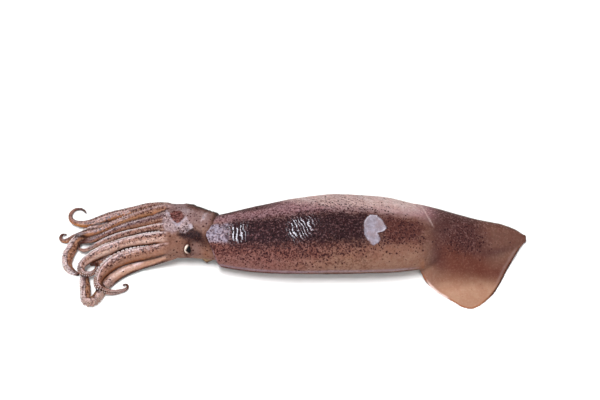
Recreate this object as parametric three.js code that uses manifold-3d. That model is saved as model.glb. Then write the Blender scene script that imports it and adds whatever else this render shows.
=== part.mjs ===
// A whole raw squid lying belly down, in millimetres, +Z up.
// The tail points along +X and the arms along -X. The squid is rolled a little, so that its back
// leans towards -Y, which is called the near side here, and +Y the far side.
// The form is worked out over a table at z = 0. The group then moves to put the origin under the
// middle of the whole.
import * as THREE from 'three';
import { ParametricGeometry } from 'three/addons/geometries/ParametricGeometry.js';
import { mergeVertices } from 'three/addons/utils/BufferGeometryUtils.js';
import Module from 'manifold-3d';

// ---------------------------------------------------------------- driving dimensions

const MANTLE_LENGTH = 228; // along the body's side, without the lobe over the nape
const MOUTH_X = -60;
const TAIL_X = MOUTH_X + MANTLE_LENGTH;
const BACK_ANGLE = 72; // degrees round the body where the middle of the back lies
const BELLY_SINK = 0.86; // height of the body's middle line over its half height, from lying flat
const FIT_GAP = 0.35; // clearance between pieces that lie in or against one another
const TIP_CROWDING = 0.09; // how much closer the mantle's rings lie at its ends

// Rings along each piece and sides round it.
const FINENESS = {
  mantle: [36, 28],
  nearFin: [24, 16],
  farFin: [16, 20],
  head: [20, 24],
  funnel: [5, 14],
  bore: [3, 10],
  eye: [10, 16],
  slit: 20,
  arm: 8,
};

// Each table pairs a place along a piece with a size there.
const MANTLE = {
  nearHalf: [[0, 20.5], [0.05, 23.6], [0.15, 27.8], [0.27, 30.8], [0.39, 31.6], [0.52, 30.2], [0.65, 25.4],
    [0.76, 18.5], [0.86, 11.5], [0.94, 6.3], [1, 2]],
  farHalf: [[0, 19], [0.05, 21.6], [0.15, 27], [0.27, 31.4], [0.39, 33], [0.52, 31.6], [0.65, 26.2],
    [0.76, 19.5], [0.86, 11.5], [0.94, 6.3], [1, 2]],
  top: [[0, 33], [0.1, 36], [0.26, 40.5], [0.39, 42], [0.52, 40.5], [0.65, 34], [0.75, 26.5],
    [0.85, 17.5], [0.93, 10.5], [1, 5]],
  middle: [[0, 0.5], [0.15, 1.2], [0.4, 2.9], [0.6, 2.7], [0.75, 4], [0.85, 6.5], [1, 10.8]],
};
const LOBE_REACH = 5; // the pointed middle of the mantle's front edge over the nape
const LOBE_SPREAD = { near: 26, far: 17 }; // degrees round the body from its point to either side
const LOBE_POINT = 1.4; // 1 is a sharp point and 2 a round one
const LOBE_DEPTH = 0.12; // share of the mantle's length that the lobe draws forward
const RIM_SLANT = 5; // the front edge leans forward over the back and backward under the belly
const RIM_TURN = 0.35; // cosine of the angle from the back where the edge crosses MOUTH_X

// The near fin's margin: from the front corner (0) to the tail (1), its distance from the table's
// middle line towards the near side, and how far it is lifted there.
const NEAR_FIN = {
  from: 87,
  rim: [[0, 18], [0.04, 25], [0.11, 32], [0.2, 39], [0.3, 44.4], [0.37, 48.6], [0.44, 50], [0.51, 47.9],
    [0.59, 42.7], [0.66, 36.9], [0.72, 29.4], [0.795, 17.3], [0.88, 5.4], [0.95, -4.2], [1, -10]],
  lift: [[0, 6], [0.04, 3], [0.1, 0.5], [0.2, 0], [0.6, 0], [0.78, 1], [0.9, 2], [1, 2]],
  leaves: 0.5, // share of the body's half width where the fin leaves its side
  rootDepth: 5,
  rootSink: 1.2, // depth of the sheet's inner edge below the skin
  slopeLength: 1.1, // over the body's half width
  flatFrom: 0.25, // share of the fin's width past which it settles on the table
  thick: 5,
  edge: 1.7,
};
// The far fin lies folded down over the far side. across runs from the back (0) to the belly (1).
const FAR_FIN = {
  front: [[0, 98], [0.12, 90], [0.4, 84], [0.7, 88], [1, 97]],
  swell: [[0, 0.7], [0.3, 1.7], [0.5, 2.4], [0.75, 4.4], [0.9, 5.2], [1, 1.2]],
  angles: [62, 222],
  rootDepth: 2,
  fade: 0.3, // share of the width over which the sheet sinks into the skin of the back
};
const EDGE_ROUND = 0.4;

const HEAD = {
  middle: [[-112, 10], [-97, 10], [-82, 8.2], [-73, 6], [-64.5, 3.6], [-58, 1.6], [-46, 0.8]],
  half: [[-112, 5], [-108, 13.5], [-103, 19], [-97, 22], [-90, 21.4], [-81.5, 19.6], [-73, 18.8],
    [-64.5, 17.8], [-58, 17], [-52, 16], [-46, 11.5]],
  tall: [[-112, 5], [-108, 9.5], [-103, 13.2], [-97, 15.6], [-90, 15.8], [-81.5, 15.5], [-73, 15.3],
    [-64.5, 14.8], [-58, 14], [-52, 13], [-46, 9.5]],
  centre: [[-112, 14], [-97, 14.6], [-90, 14.8], [-81.5, 15], [-73, 15.2], [-64.5, 15.5], [-58, 16.4],
    [-46, 17]],
};
const NECK_X = -46; // the neck's end inside the mantle
const CROWN_X = -112;
const EYE = {
  x: -82.4,
  radius: 7,
  sink: 7.9,
  bulge: 1.4,
  nearAngle: 16,
  farAngle: 168,
  slitWide: 4.6,
  slitTall: 9,
  slitDepth: 6,
};
const FUNNEL = {
  from: [-61.5, -1.5, 9.5],
  to: [-71, -9.3, 4.4],
  wide: 8,
  tip: 3.3,
  bore: 1.9,
  boreDepth: 6,
};

// The arms and the two tentacles, named round the crown from the far side over the back to the near
// side. heading is in degrees with 180 towards -X. A bend turns the path by so many degrees, spread
// over a length round the place given. high is the middle line's height, girth the arm's half width,
// and roll turns the sucker side away from straight down.
const ARMS = [
  {
    name: 'far_side', root: [-97.8, 26.8], heading: 152, length: 99, roll: 50,
    bends: [[22, 49, 58], [68, -65, 35], [100, -439, 60]],
    high: [[0, 20], [17, 12], [33, 6], [62, 3.4], [80, 1.8]],
    girth: [[0, 4], [25, 3.9], [46, 4.6], [54, 4.4], [62, 3.3], [75, 1.9], [99, 0.6]],
  },
  {
    name: 'far_upper', root: [-97.1, 22.4], heading: 165, length: 92, roll: 15,
    bends: [[38, 69, 92], [54, -36, 14], [91, -433, 29]],
    high: [[0, 25], [14, 18], [30, 11.5], [54, 7], [69, 5.5], [80, 1.8]],
    girth: [[0, 4.2], [22, 3.1], [54, 2.5], [73, 2.1], [92, 0.6]],
  },
  {
    name: 'far_top', root: [-96.4, 12.8], heading: 170, length: 68, roll: 0,
    bends: [[30, 32, 68], [60, -24, 8]],
    high: [[0, 27.2], [14, 20], [29, 14.5], [45, 9.5], [59, 6], [68, 4]],
    girth: [[0, 4.4], [22, 3.3], [37, 3], [53, 2], [68, 0.8]],
  },
  {
    name: 'near_top', root: [-95.8, 3.9], heading: 172, length: 79, roll: -110,
    bends: [[53, 61, 79], [80, -500, 47]],
    high: [[0, 27.4], [14, 21.5], [29, 15], [45, 9.5], [59, 6], [69, 3.5], [79, 3]],
    girth: [[0, 4.4], [22, 2.9], [45, 2.5], [59, 1.7], [79, 0.6]],
  },
  {
    name: 'near_upper', root: [-95.7, -3], heading: 174, length: 95, roll: -110,
    bends: [[61, 91, 95], [77, 195, 28], [93, 115, 7]],
    high: [[0, 25.4], [14, 20.5], [29, 14], [44, 9.5], [58, 8], [74, 7], [95, 4.4]],
    girth: [[0, 4.8], [21, 4.8], [44, 4.9], [58, 3.9], [74, 2.4], [95, 0.6]],
  },
  {
    name: 'near_side', root: [-95.8, -8.9], heading: 180, length: 94, roll: -110,
    bends: [[57, 147, 81], [66, 65, 11], [95, 500, 23]],
    high: [[0, 20], [14, 14.5], [29, 10], [43, 7], [65, 7], [77, 2.4], [94, 1.8]],
    girth: [[0, 4.8], [14, 5.2], [32, 6], [43, 5.6], [60, 3.2], [77, 1.8], [94, 0.6]],
  },
  {
    name: 'near_belly', root: [-95, -2], heading: 186, length: 60, roll: 0,
    bends: [[30, 6, 40]],
    high: [[0, 8], [20, 5], [60, 2.8]],
    girth: [[0, 5.5], [20, 5], [45, 4.4], [60, 1.6]],
  },
  {
    name: 'far_belly', root: [-95, 17], heading: 181, length: 66, roll: 0,
    bends: [[40, 16, 50]],
    high: [[0, 8], [20, 5.5], [66, 2.8]],
    girth: [[0, 5.5], [30, 4.6], [52, 3.4], [66, 1.4]],
  },
];
const TENTACLES = [
  {
    name: 'near_tentacle', root: [-93.3, -10.4], heading: 185, length: 100, roll: 100,
    bends: [[47, 81, 92], [72, -166, 15]],
    high: [[0, 12], [17, 7], [32, 4.6], [57, 3.6], [99, 3]],
    girth: [[0, 3.2], [17, 3.7], [57, 3.6], [66, 3.3], [83, 3.8], [94, 3.2], [100, 1.6]],
  },
  {
    name: 'far_tentacle', root: [-97.4, 30.4], heading: 152, length: 110, roll: -95,
    bends: [[39, -375, 70], [39, 470, 86], [99, 104, 32]],
    high: [[0, 8], [10, 5], [23, 3.8], [61, 3.4], [97, 2.8], [110, 2]],
    girth: [[0, 3.2], [40, 3], [61, 3.4], [88, 4], [97, 3.3], [110, 1.2]],
  },
];
const ARM_ROOT_DEPTH = 9; // length of an arm's foot inside the head
const ROOT_AIM = [-80, 8, 13]; // the point inside the head that the feet turn halfway towards
const RING_STEP = [1, 0.85]; // spacing of an arm's rings: a part that is fixed and one by girth
const PATH_STEP = 0.5;
const CORNER_ANGLE = 135; // degrees from the arm's back to the edges of its sucker side
const CORNER_REACH = 1.1; // how far those edges stand out, over the girth
const SUCKER_SIDE = 0.72; // depth of the flat sucker side, over the girth

// ---------------------------------------------------------------- small helpers

const rad = THREE.MathUtils.degToRad;
const wasm = await Module();
wasm.setup();

// A smooth curve through [place, size] pairs that never overshoots them.
function table(pairs) {
  const xs = pairs.map((p) => p[0]);
  const ys = pairs.map((p) => p[1]);
  const steps = xs.slice(1).map((x, i) => x - xs[i]);
  const slopes = steps.map((h, i) => (ys[i + 1] - ys[i]) / h);
  const last = xs.length - 1;
  const tangents = xs.map((_, i) => {
    if (i === 0) return slopes[0];
    if (i === last) return slopes[last - 1];
    const before = slopes[i - 1];
    const after = slopes[i];
    if (before * after <= 0) return 0;
    const w1 = 2 * steps[i] + steps[i - 1];
    const w2 = steps[i] + 2 * steps[i - 1];
    return (w1 + w2) / (w1 / before + w2 / after);
  });
  return (x) => {
    const at = THREE.MathUtils.clamp(x, xs[0], xs[last]);
    let i = 0;
    while (i < last - 1 && at > xs[i + 1]) i += 1;
    const h = steps[i];
    const s = (at - xs[i]) / h;
    const r = 1 - s;
    return ys[i] * (1 + 2 * s) * r * r + tangents[i] * h * s * r * r
      + ys[i + 1] * s * s * (3 - 2 * s) - tangents[i + 1] * h * s * s * r;
  };
}

// A closed tube of rings. stationAt turns an even place from 0 to 1 into a station along the piece,
// and ringPoint(station, angle, target) gives the skin there, with the angle in radians. Each end
// closes on the middle of its ring.
function tubeSolid([rings, sides], stationAt, ringPoint) {
  const rim = new THREE.Vector3();
  const angleOf = (side) => (2 * Math.PI * side) / sides;
  const stationOf = (ring) => stationAt(ring / (rings - 1));
  const middleOf = (station, target) => {
    target.set(0, 0, 0);
    for (let side = 0; side < sides; side += 1) target.add(ringPoint(station, angleOf(side), rim));
    target.divideScalar(sides);
  };
  const skin = (u, v, target) => {
    const row = Math.round(v * (rings + 1));
    const side = Math.round(u * sides) % sides;
    if (row === 0) middleOf(stationOf(0), target);
    else if (row === rings + 1) middleOf(stationOf(rings - 1), target);
    else ringPoint(stationOf(row - 1), angleOf(side), target);
  };
  return solidOf(new ParametricGeometry(skin, sides, rings + 1));
}

// A three.js geometry as a manifold-3d solid, facing out.
function solidOf(geometry) {
  geometry.deleteAttribute('normal');
  geometry.deleteAttribute('uv');
  const merged = mergeVertices(geometry, 1e-4);
  const index = merged.index.array;
  const triangles = [];
  for (let i = 0; i < index.length; i += 3) {
    const [a, b, c] = [index[i], index[i + 1], index[i + 2]];
    if (a !== b && b !== c && c !== a) triangles.push(a, b, c);
  }
  const build = (triVerts) => new wasm.Manifold(new wasm.Mesh({
    numProp: 3,
    vertProperties: merged.attributes.position.array,
    triVerts: new Uint32Array(triVerts),
  }));
  const solid = build(triangles);
  return solid.volume() > 0 ? solid : build(triangles.reverse());
}

// A manifold-3d solid as a named mesh.
function meshOf(name, solid, material) {
  const { vertProperties, triVerts } = solid.getMesh();
  const geometry = new THREE.BufferGeometry();
  geometry.setAttribute('position', new THREE.BufferAttribute(vertProperties, 3));
  geometry.setIndex(new THREE.BufferAttribute(triVerts, 1));
  geometry.computeVertexNormals();
  const mesh = new THREE.Mesh(geometry, material);
  mesh.name = name;
  return mesh;
}

// ---------------------------------------------------------------- mantle and fins

const nearHalf = table(MANTLE.nearHalf);
const farHalf = table(MANTLE.farHalf);
const mantleTop = table(MANTLE.top);
const mantleMiddle = table(MANTLE.middle);

// The mantle's skin. The angle is 0 on the near side, 90 degrees on top and 180 on the far side.
function mantlePoint(share, angle, target, swell = 0) {
  const tall = mantleTop(share) / (1 + BELLY_SINK) + swell;
  const half = (Math.cos(angle) > 0 ? nearHalf(share) : farHalf(share)) + swell;
  const fromBack = THREE.MathUtils.euclideanModulo(angle - rad(BACK_ANGLE) + Math.PI, 2 * Math.PI) - Math.PI;
  const spread = rad(fromBack > 0 ? LOBE_SPREAD.far : LOBE_SPREAD.near);
  const lobe = LOBE_REACH * Math.exp(-(Math.abs(fromBack / spread) ** LOBE_POINT));
  const slant = RIM_SLANT * (Math.cos(fromBack) - RIM_TURN);
  const forward = (lobe + slant) * Math.max(0, 1 - share / LOBE_DEPTH);
  return target.set(
    MOUTH_X + MANTLE_LENGTH * share - forward,
    mantleMiddle(share) - half * Math.cos(angle),
    Math.max(0, BELLY_SINK * (tall - swell) + tall * Math.sin(angle)),
  );
}

// Rings lie closer together at the mouth and at the tail.
function mantleBody() {
  const crowd = (even) => even - TIP_CROWDING * Math.sin(2 * Math.PI * even);
  return tubeSolid(FINENESS.mantle, crowd, mantlePoint);
}

// Goes round a thin sheet's section: 0 at one edge, 1 at the other and back underneath. across is
// the place between the edges, and face runs from 1 on the upper face to -1 on the lower one.
function sheetSection(angle) {
  return {
    across: (1 - Math.cos(angle)) / 2,
    face: THREE.MathUtils.clamp(Math.sin(angle) / EDGE_ROUND, -1, 1),
  };
}

// The near fin leaves the body's side, slopes down and lies flat on the table.
function nearFin() {
  const rimReach = table(NEAR_FIN.rim);
  const rimLift = table(NEAR_FIN.lift);
  const finPoint = (station, angle, target) => {
    const { across, face } = sheetSection(angle);
    const x = THREE.MathUtils.lerp(NEAR_FIN.from, TAIL_X, station);
    const share = (x - MOUTH_X) / MANTLE_LENGTH;
    const half = nearHalf(share);
    const tall = mantleTop(share) / (1 + BELLY_SINK);
    const inner = half * NEAR_FIN.leaves;
    const outer = Math.max(inner + 1, rimReach(station) + mantleMiddle(share));
    const out = THREE.MathUtils.lerp(inner - NEAR_FIN.rootDepth, outer, across);
    const leaveHeight = tall * (BELLY_SINK + Math.sqrt(1 - NEAR_FIN.leaves ** 2)) - NEAR_FIN.edge;
    const fall = Math.exp(-((Math.max(0, out - inner) / (NEAR_FIN.slopeLength * half)) ** 1.5));
    const slope = leaveHeight * fall * (1 - THREE.MathUtils.smoothstep(across, NEAR_FIN.flatFrom, 1));
    const thick = THREE.MathUtils.lerp(NEAR_FIN.thick, NEAR_FIN.edge, across ** 0.5);
    const sink = NEAR_FIN.rootSink * (1 - THREE.MathUtils.smoothstep(across, 0, NEAR_FIN.flatFrom));
    const middle = NEAR_FIN.edge + slope - sink + rimLift(station) * across ** 3 - thick / 2;
    return target.set(x, mantleMiddle(share) - out, Math.max(0, middle + (face * thick) / 2));
  };
  return tubeSolid(FINENESS.nearFin, (even) => even, finPoint);
}

// The far fin is folded down over the body's far side and tucked in below it.
function farFin() {
  const front = table(FAR_FIN.front);
  const swell = table(FAR_FIN.swell);
  const foldPoint = (station, angle, target) => {
    const { across, face } = sheetSection(angle);
    const x = THREE.MathUtils.lerp(front(across), TAIL_X, station);
    const share = (x - MOUTH_X) / MANTLE_LENGTH;
    const round = rad(THREE.MathUtils.lerp(FAR_FIN.angles[0], FAR_FIN.angles[1], across));
    const rise = THREE.MathUtils.smoothstep(across, 0, FAR_FIN.fade);
    const outward = face > 0 ? face * (swell(station) * rise - (1 - rise)) : face * FAR_FIN.rootDepth;
    return mantlePoint(share, round, target, outward * Math.min(1, mantleTop(share) / 12));
  };
  return tubeSolid(FINENESS.farFin, (even) => even, foldPoint);
}

// ---------------------------------------------------------------- head, funnel and eyes

const headMiddle = table(HEAD.middle);
const headHalf = table(HEAD.half);
const headTall = table(HEAD.tall);
const headCentre = table(HEAD.centre);

function headPoint(x, angle, target, grow = 0) {
  const nearEye = Math.max(0, Math.cos(angle - rad(EYE.nearAngle)));
  const farEye = Math.max(0, Math.cos(angle - rad(EYE.farAngle)));
  const bulge = EYE.bulge * Math.exp(-(((x - EYE.x) / EYE.radius) ** 2)) * Math.max(nearEye, farEye) ** 3;
  return target.set(
    x,
    headMiddle(x) - (headHalf(x) + grow + bulge) * Math.cos(angle),
    Math.max(0, headCentre(x) + (headTall(x) + grow + bulge / 2) * Math.sin(angle)),
  );
}

function headCore() {
  return tubeSolid(FINENESS.head, (even) => THREE.MathUtils.lerp(CROWN_X, NECK_X, even), headPoint);
}

// The room that the neck and the nape take up inside the mantle's mouth.
function neckRoom() {
  const stationAt = (even) => THREE.MathUtils.lerp(CROWN_X, NECK_X + FIT_GAP, even);
  const roomPoint = (x, angle, target) => headPoint(Math.min(x, NECK_X), angle, target, FIT_GAP).setX(x);
  return tubeSolid(FINENESS.head, stationAt, roomPoint);
}

const EYES = { near: rad(EYE.nearAngle), far: rad(EYE.farAngle) };

// The place on the head's skin where an eye looks out, and the way it looks.
function eyeSeat(angle) {
  const seat = headPoint(EYE.x, angle, new THREE.Vector3());
  const outward = new THREE.Vector3(0, -Math.cos(angle), Math.sin(angle));
  return { seat, outward };
}

function eyeBall(angle, grow = 0) {
  const { seat, outward } = eyeSeat(angle);
  const [down, across] = FINENESS.eye;
  const geometry = new THREE.SphereGeometry(EYE.radius + grow, across, down);
  geometry.rotateX(Math.PI / 2);
  geometry.translate(seat.x, seat.y, seat.z);
  geometry.translate(-EYE.sink * outward.x, -EYE.sink * outward.y, -EYE.sink * outward.z);
  return solidOf(geometry);
}

// The upright slit between the lids, as an oval plug that reaches into the socket.
function eyeSlit(angle) {
  const { seat, outward } = eyeSeat(angle);
  const turn = new THREE.Quaternion().setFromUnitVectors(new THREE.Vector3(0, 0, 1), outward);
  const geometry = new THREE.CylinderGeometry(0.5, 0.5, EYE.slitDepth, FINENESS.slit);
  geometry.rotateX(Math.PI / 2);
  geometry.scale(EYE.slitWide, EYE.slitTall, 1);
  geometry.applyQuaternion(turn);
  geometry.translate(seat.x, seat.y, seat.z);
  return solidOf(geometry);
}

// The funnel's short nozzle under the near side of the head, with its mouth open.
function funnel() {
  const from = new THREE.Vector3(...FUNNEL.from);
  const to = new THREE.Vector3(...FUNNEL.to);
  const line = to.clone().sub(from);
  const side = new THREE.Vector3().crossVectors(line, new THREE.Vector3(0, 0, 1)).normalize();
  const up = new THREE.Vector3().crossVectors(side, line).normalize();
  const cone = (start, end, wide, tip) => (station, angle, target) => {
    const reach = THREE.MathUtils.lerp(wide, tip, station);
    target.copy(from).addScaledVector(line, THREE.MathUtils.lerp(start, end, station));
    target.addScaledVector(side, reach * Math.cos(angle)).addScaledVector(up, -reach * Math.sin(angle));
    return target.setZ(Math.max(0, target.z));
  };
  const outer = tubeSolid(FINENESS.funnel, (even) => even, cone(0, 1, FUNNEL.wide, FUNNEL.tip));
  const depth = FUNNEL.boreDepth / line.length();
  const bore = tubeSolid(FINENESS.bore, (even) => even, cone(1 - depth, 1 + depth, FUNNEL.bore, FUNNEL.bore));
  return outer.subtract(bore);
}

// ---------------------------------------------------------------- arms and tentacles

// The arm's path in plan, in fine steps from its root: each bend turns the heading smoothly.
function armPath(arm) {
  const points = [{ along: 0, x: arm.root[0], y: arm.root[1] }];
  const headingAt = (along) => arm.bends.reduce(
    (sum, [at, turn, over]) => sum + turn * THREE.MathUtils.smoothstep(along, at - over / 2, at + over / 2),
    arm.heading,
  );
  while (points.at(-1).along < arm.length) {
    const { along, x, y } = points.at(-1);
    const way = rad(headingAt(along + PATH_STEP / 2));
    points.push({
      along: along + PATH_STEP,
      x: x + PATH_STEP * Math.cos(way),
      y: y + PATH_STEP * Math.sin(way),
    });
  }
  const alongPath = (key) => table(points.map((p) => [p.along, p[key]]));
  const xAt = alongPath('x');
  const yAt = alongPath('y');
  const highAt = table(arm.high);
  const root = new THREE.Vector3(xAt(0), yAt(0), highAt(0));
  const rootWay = rad(headingAt(0));
  const straight = new THREE.Vector3(-Math.cos(rootWay), -Math.sin(rootWay), 0);
  const inward = new THREE.Vector3(...ROOT_AIM).sub(root).normalize().add(straight).normalize();
  return (along, target) => {
    if (along < 0) return target.copy(root).addScaledVector(inward, -along);
    return target.set(xAt(along), yAt(along), highAt(along));
  };
}

// The outline of an arm's section over its girth, by the angle from the middle of its back: round
// over the back and flat between the two edges of the sucker side.
function sectionReach(fromBack) {
  const corner = rad(CORNER_ANGLE);
  if (fromBack <= corner) {
    return THREE.MathUtils.lerp(1, CORNER_REACH, THREE.MathUtils.smoothstep(fromBack, corner / 2, corner));
  }
  const inward = Math.sin(((Math.PI / 2) * (fromBack - corner)) / (Math.PI - corner));
  return THREE.MathUtils.lerp(CORNER_REACH, SUCKER_SIDE, inward);
}

// One arm, a tapering tube whose underside settles on the table.
function armSolid(arm) {
  const pathAt = armPath(arm);
  const girthAt = table(arm.girth);
  const roll = rad(arm.roll);
  const places = [-ARM_ROOT_DEPTH];
  while (places.at(-1) < arm.length) {
    const along = places.at(-1);
    places.push(Math.min(arm.length, along + RING_STEP[0] + RING_STEP[1] * girthAt(along)));
  }
  const ahead = new THREE.Vector3();
  const back = new THREE.Vector3();
  const side = new THREE.Vector3();
  const up = new THREE.Vector3();
  const armPoint = (along, angle, target) => {
    pathAt(along - PATH_STEP, back);
    pathAt(along + PATH_STEP, ahead).sub(back).normalize();
    side.crossVectors(ahead, new THREE.Vector3(0, 0, 1)).normalize();
    up.crossVectors(side, ahead);
    const fromBack = Math.abs(THREE.MathUtils.euclideanModulo(angle + Math.PI, 2 * Math.PI) - Math.PI);
    const reach = girthAt(along) * sectionReach(fromBack);
    pathAt(along, target);
    target.addScaledVector(side, reach * Math.sin(angle + roll));
    target.addScaledVector(up, reach * Math.cos(angle + roll));
    return target.setZ(Math.max(0, target.z));
  };
  const stationAt = (even) => places[Math.round(even * (places.length - 1))];
  return tubeSolid([places.length, FINENESS.arm], stationAt, armPoint);
}

// ---------------------------------------------------------------- the squid

const material = (name, color, roughness) => new THREE.MeshStandardMaterial({ name, color, roughness });
const mantleSkin = material('mantle_skin', 0x5b4444, 0.3);
const headSkin = material('head_skin', 0x7a5a50, 0.32);
const eyeWhite = material('eye_ball', 0xd8cfc0, 0.15);

const mantle = mantleBody().add(nearFin()).add(farFin()).subtract(neckRoom());
let head = headCore().add(funnel());
for (const arm of [...ARMS, ...TENTACLES]) head = head.add(armSolid(arm));
for (const angle of Object.values(EYES)) {
  head = head.subtract(eyeBall(angle, FIT_GAP)).subtract(eyeSlit(angle));
}

const squid = new THREE.Group();
squid.name = 'squid';
squid.add(
  meshOf('mantle', mantle, mantleSkin),
  meshOf('head_and_arms', head, headSkin),
  meshOf('near_eye', eyeBall(EYES.near), eyeWhite),
  meshOf('far_eye', eyeBall(EYES.far), eyeWhite),
);

const box = new THREE.Box3().setFromObject(squid);
const middle = box.getCenter(new THREE.Vector3());
squid.position.set(-middle.x, -middle.y, -box.min.z);

export default squid;
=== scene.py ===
import math

import bpy
import numpy as np
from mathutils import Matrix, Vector


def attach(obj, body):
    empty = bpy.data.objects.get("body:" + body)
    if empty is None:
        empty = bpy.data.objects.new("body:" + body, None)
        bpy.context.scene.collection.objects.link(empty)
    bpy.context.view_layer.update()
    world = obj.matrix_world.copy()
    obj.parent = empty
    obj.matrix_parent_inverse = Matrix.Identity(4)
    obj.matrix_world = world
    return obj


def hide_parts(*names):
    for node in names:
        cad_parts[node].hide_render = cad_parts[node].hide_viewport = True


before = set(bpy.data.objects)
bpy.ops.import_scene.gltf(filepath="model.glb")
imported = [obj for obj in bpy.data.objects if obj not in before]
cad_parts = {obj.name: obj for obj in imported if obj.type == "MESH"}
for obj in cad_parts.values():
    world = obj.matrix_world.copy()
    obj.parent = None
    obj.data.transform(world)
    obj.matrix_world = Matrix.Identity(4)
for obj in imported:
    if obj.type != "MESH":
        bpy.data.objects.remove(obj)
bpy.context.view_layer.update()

# The forms are worked out in millimetres over the table, with the mantle's mouth near x = -60, and
# then moved to the part's own origin.
SHIFT = np.array([5.7904, 4.4965, 0.0])
MM = 0.001

# ---- driving dimensions, in millimetres and degrees

MANTLE_LENGTH = 228.0
MOUTH_X = -60.0
TAIL_X = MOUTH_X + MANTLE_LENGTH
BACK_ANGLE = math.radians(72)
BELLY_SINK = 0.86
FIT_GAP = 0.45
MANTLE_VOXEL, HEAD_VOXEL = 0.75, 0.55
SMOOTH_IN, SMOOTH_OUT = 0.5, -0.52  # steps towards the neighbours' mean and back
UP = (0, 0, 1)

# The mantle by the share of its length: half widths, height of the back, sideways place.
NEAR_HALF = [(0, 20.5), (0.05, 23.6), (0.15, 27.8), (0.27, 30.8), (0.39, 31.6), (0.52, 30.2), (0.65, 25.4),
             (0.76, 18.5), (0.86, 11.5), (0.94, 6.3), (1, 2)]
FAR_HALF = [(0, 19), (0.05, 21.6), (0.15, 27), (0.27, 31.4), (0.39, 33), (0.52, 31.6), (0.65, 26.2),
            (0.76, 19.5), (0.86, 11.5), (0.94, 6.3), (1, 2)]
MANTLE_TOP = [(0, 33), (0.1, 36), (0.26, 40.5), (0.39, 42), (0.52, 40.5), (0.65, 34), (0.75, 26.5),
              (0.85, 17.5), (0.93, 10.5), (1, 5)]
MANTLE_MIDDLE = [(0, 0.5), (0.15, 1.2), (0.4, 2.9), (0.6, 2.7), (0.75, 4), (0.85, 6.5), (1, 10.8)]
LOBE_REACH, LOBE_SPREAD, LOBE_POINT, LOBE_DEPTH = 5.0, math.radians(26), 1.4, 0.12
LOBE_SPREAD_FAR = math.radians(17)
RIM_SLANT, RIM_TURN = 5.0, 0.35
MOUTH_TALL, MOUTH_HALF = 15.3, 20.0  # the mouth's half height and half width, for the fold round the neck

FIN_FROM = 87.0
FIN_RIM = [(0, 18), (0.04, 25), (0.11, 32), (0.2, 39), (0.3, 44.4), (0.37, 48.6), (0.44, 50), (0.51, 47.9),
           (0.59, 42.7), (0.66, 36.9), (0.72, 29.4), (0.795, 17.3), (0.88, 5.4), (0.95, -4.2), (1, -10)]
FIN_LIFT = [(0, 6), (0.04, 3), (0.1, 0.5), (0.2, 0), (0.6, 0), (0.78, 1), (0.9, 2), (1, 2)]
FIN_LEAVES, FIN_ROOT_DEPTH, FIN_ROOT_SINK, FIN_SLOPE = 0.5, 5.0, 1.2, 1.1
FIN_FLAT_FROM, FIN_THICK, FIN_EDGE = 0.25, 5.0, 1.5
FOLD_FRONT = [(0, 98), (0.12, 90), (0.4, 84), (0.7, 88), (1, 97)]
FOLD_SWELL = [(0, 0.35), (0.1, 0.8), (0.3, 1.7), (0.5, 2.4), (0.75, 4.4), (0.9, 5.2), (1, 1.2)]
FOLD_ANGLES = (62.0, 222.0)
FOLD_ROOT_DEPTH, FOLD_FADE, EDGE_ROUND = 2.0, 0.3, 0.4

# The head by its place along the squid: sideways place, half width, half height, height of its middle.
HEAD_MIDDLE = [(-112, 10), (-97, 10), (-82, 8.2), (-73, 6), (-64.5, 3.6), (-58, 1.6), (-46, 0.8)]
HEAD_HALF = [(-112, 5), (-108, 13.5), (-103, 19), (-97, 22), (-90, 21.4), (-81.5, 19.6), (-73, 18.8),
             (-64.5, 17.8), (-58, 17), (-52, 16), (-46, 11.5)]
HEAD_TALL = [(-112, 5), (-108, 9.5), (-103, 13.2), (-97, 15.6), (-90, 15.8), (-81.5, 15.5), (-73, 15.3),
             (-64.5, 14.8), (-58, 14), (-52, 13), (-46, 9.5)]
HEAD_CENTRE = [(-112, 14), (-97, 14.6), (-90, 14.8), (-81.5, 15), (-73, 15.2), (-64.5, 15.5), (-58, 16.4),
               (-46, 17)]
NECK_X, CROWN_X = -46.0, -112.0
EYE_X, EYE_RADIUS, EYE_SINK, EYE_BULGE = -82.4, 7.0, 7.9, 1.4
EYE_ANGLES = {"near": math.radians(16), "far": math.radians(168)}
SLIT_WIDE, SLIT_TALL, SLIT_DEPTH, SLIT_SHIFT = 5.4, 10.4, 4.4, 0.9
PUPIL_FROM, PUPIL_SPREAD = -1.5, 0.65  # the pupil is a wedge, with its point towards the arms
FUNNEL_FROM, FUNNEL_TO = np.array([-61.5, -1.5, 9.5]), np.array([-71, -9.3, 4.4])
FUNNEL_WIDE, FUNNEL_TIP, FUNNEL_BORE, FUNNEL_BORE_DEPTH = 8.0, 3.3, 1.9, 6.0

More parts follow.
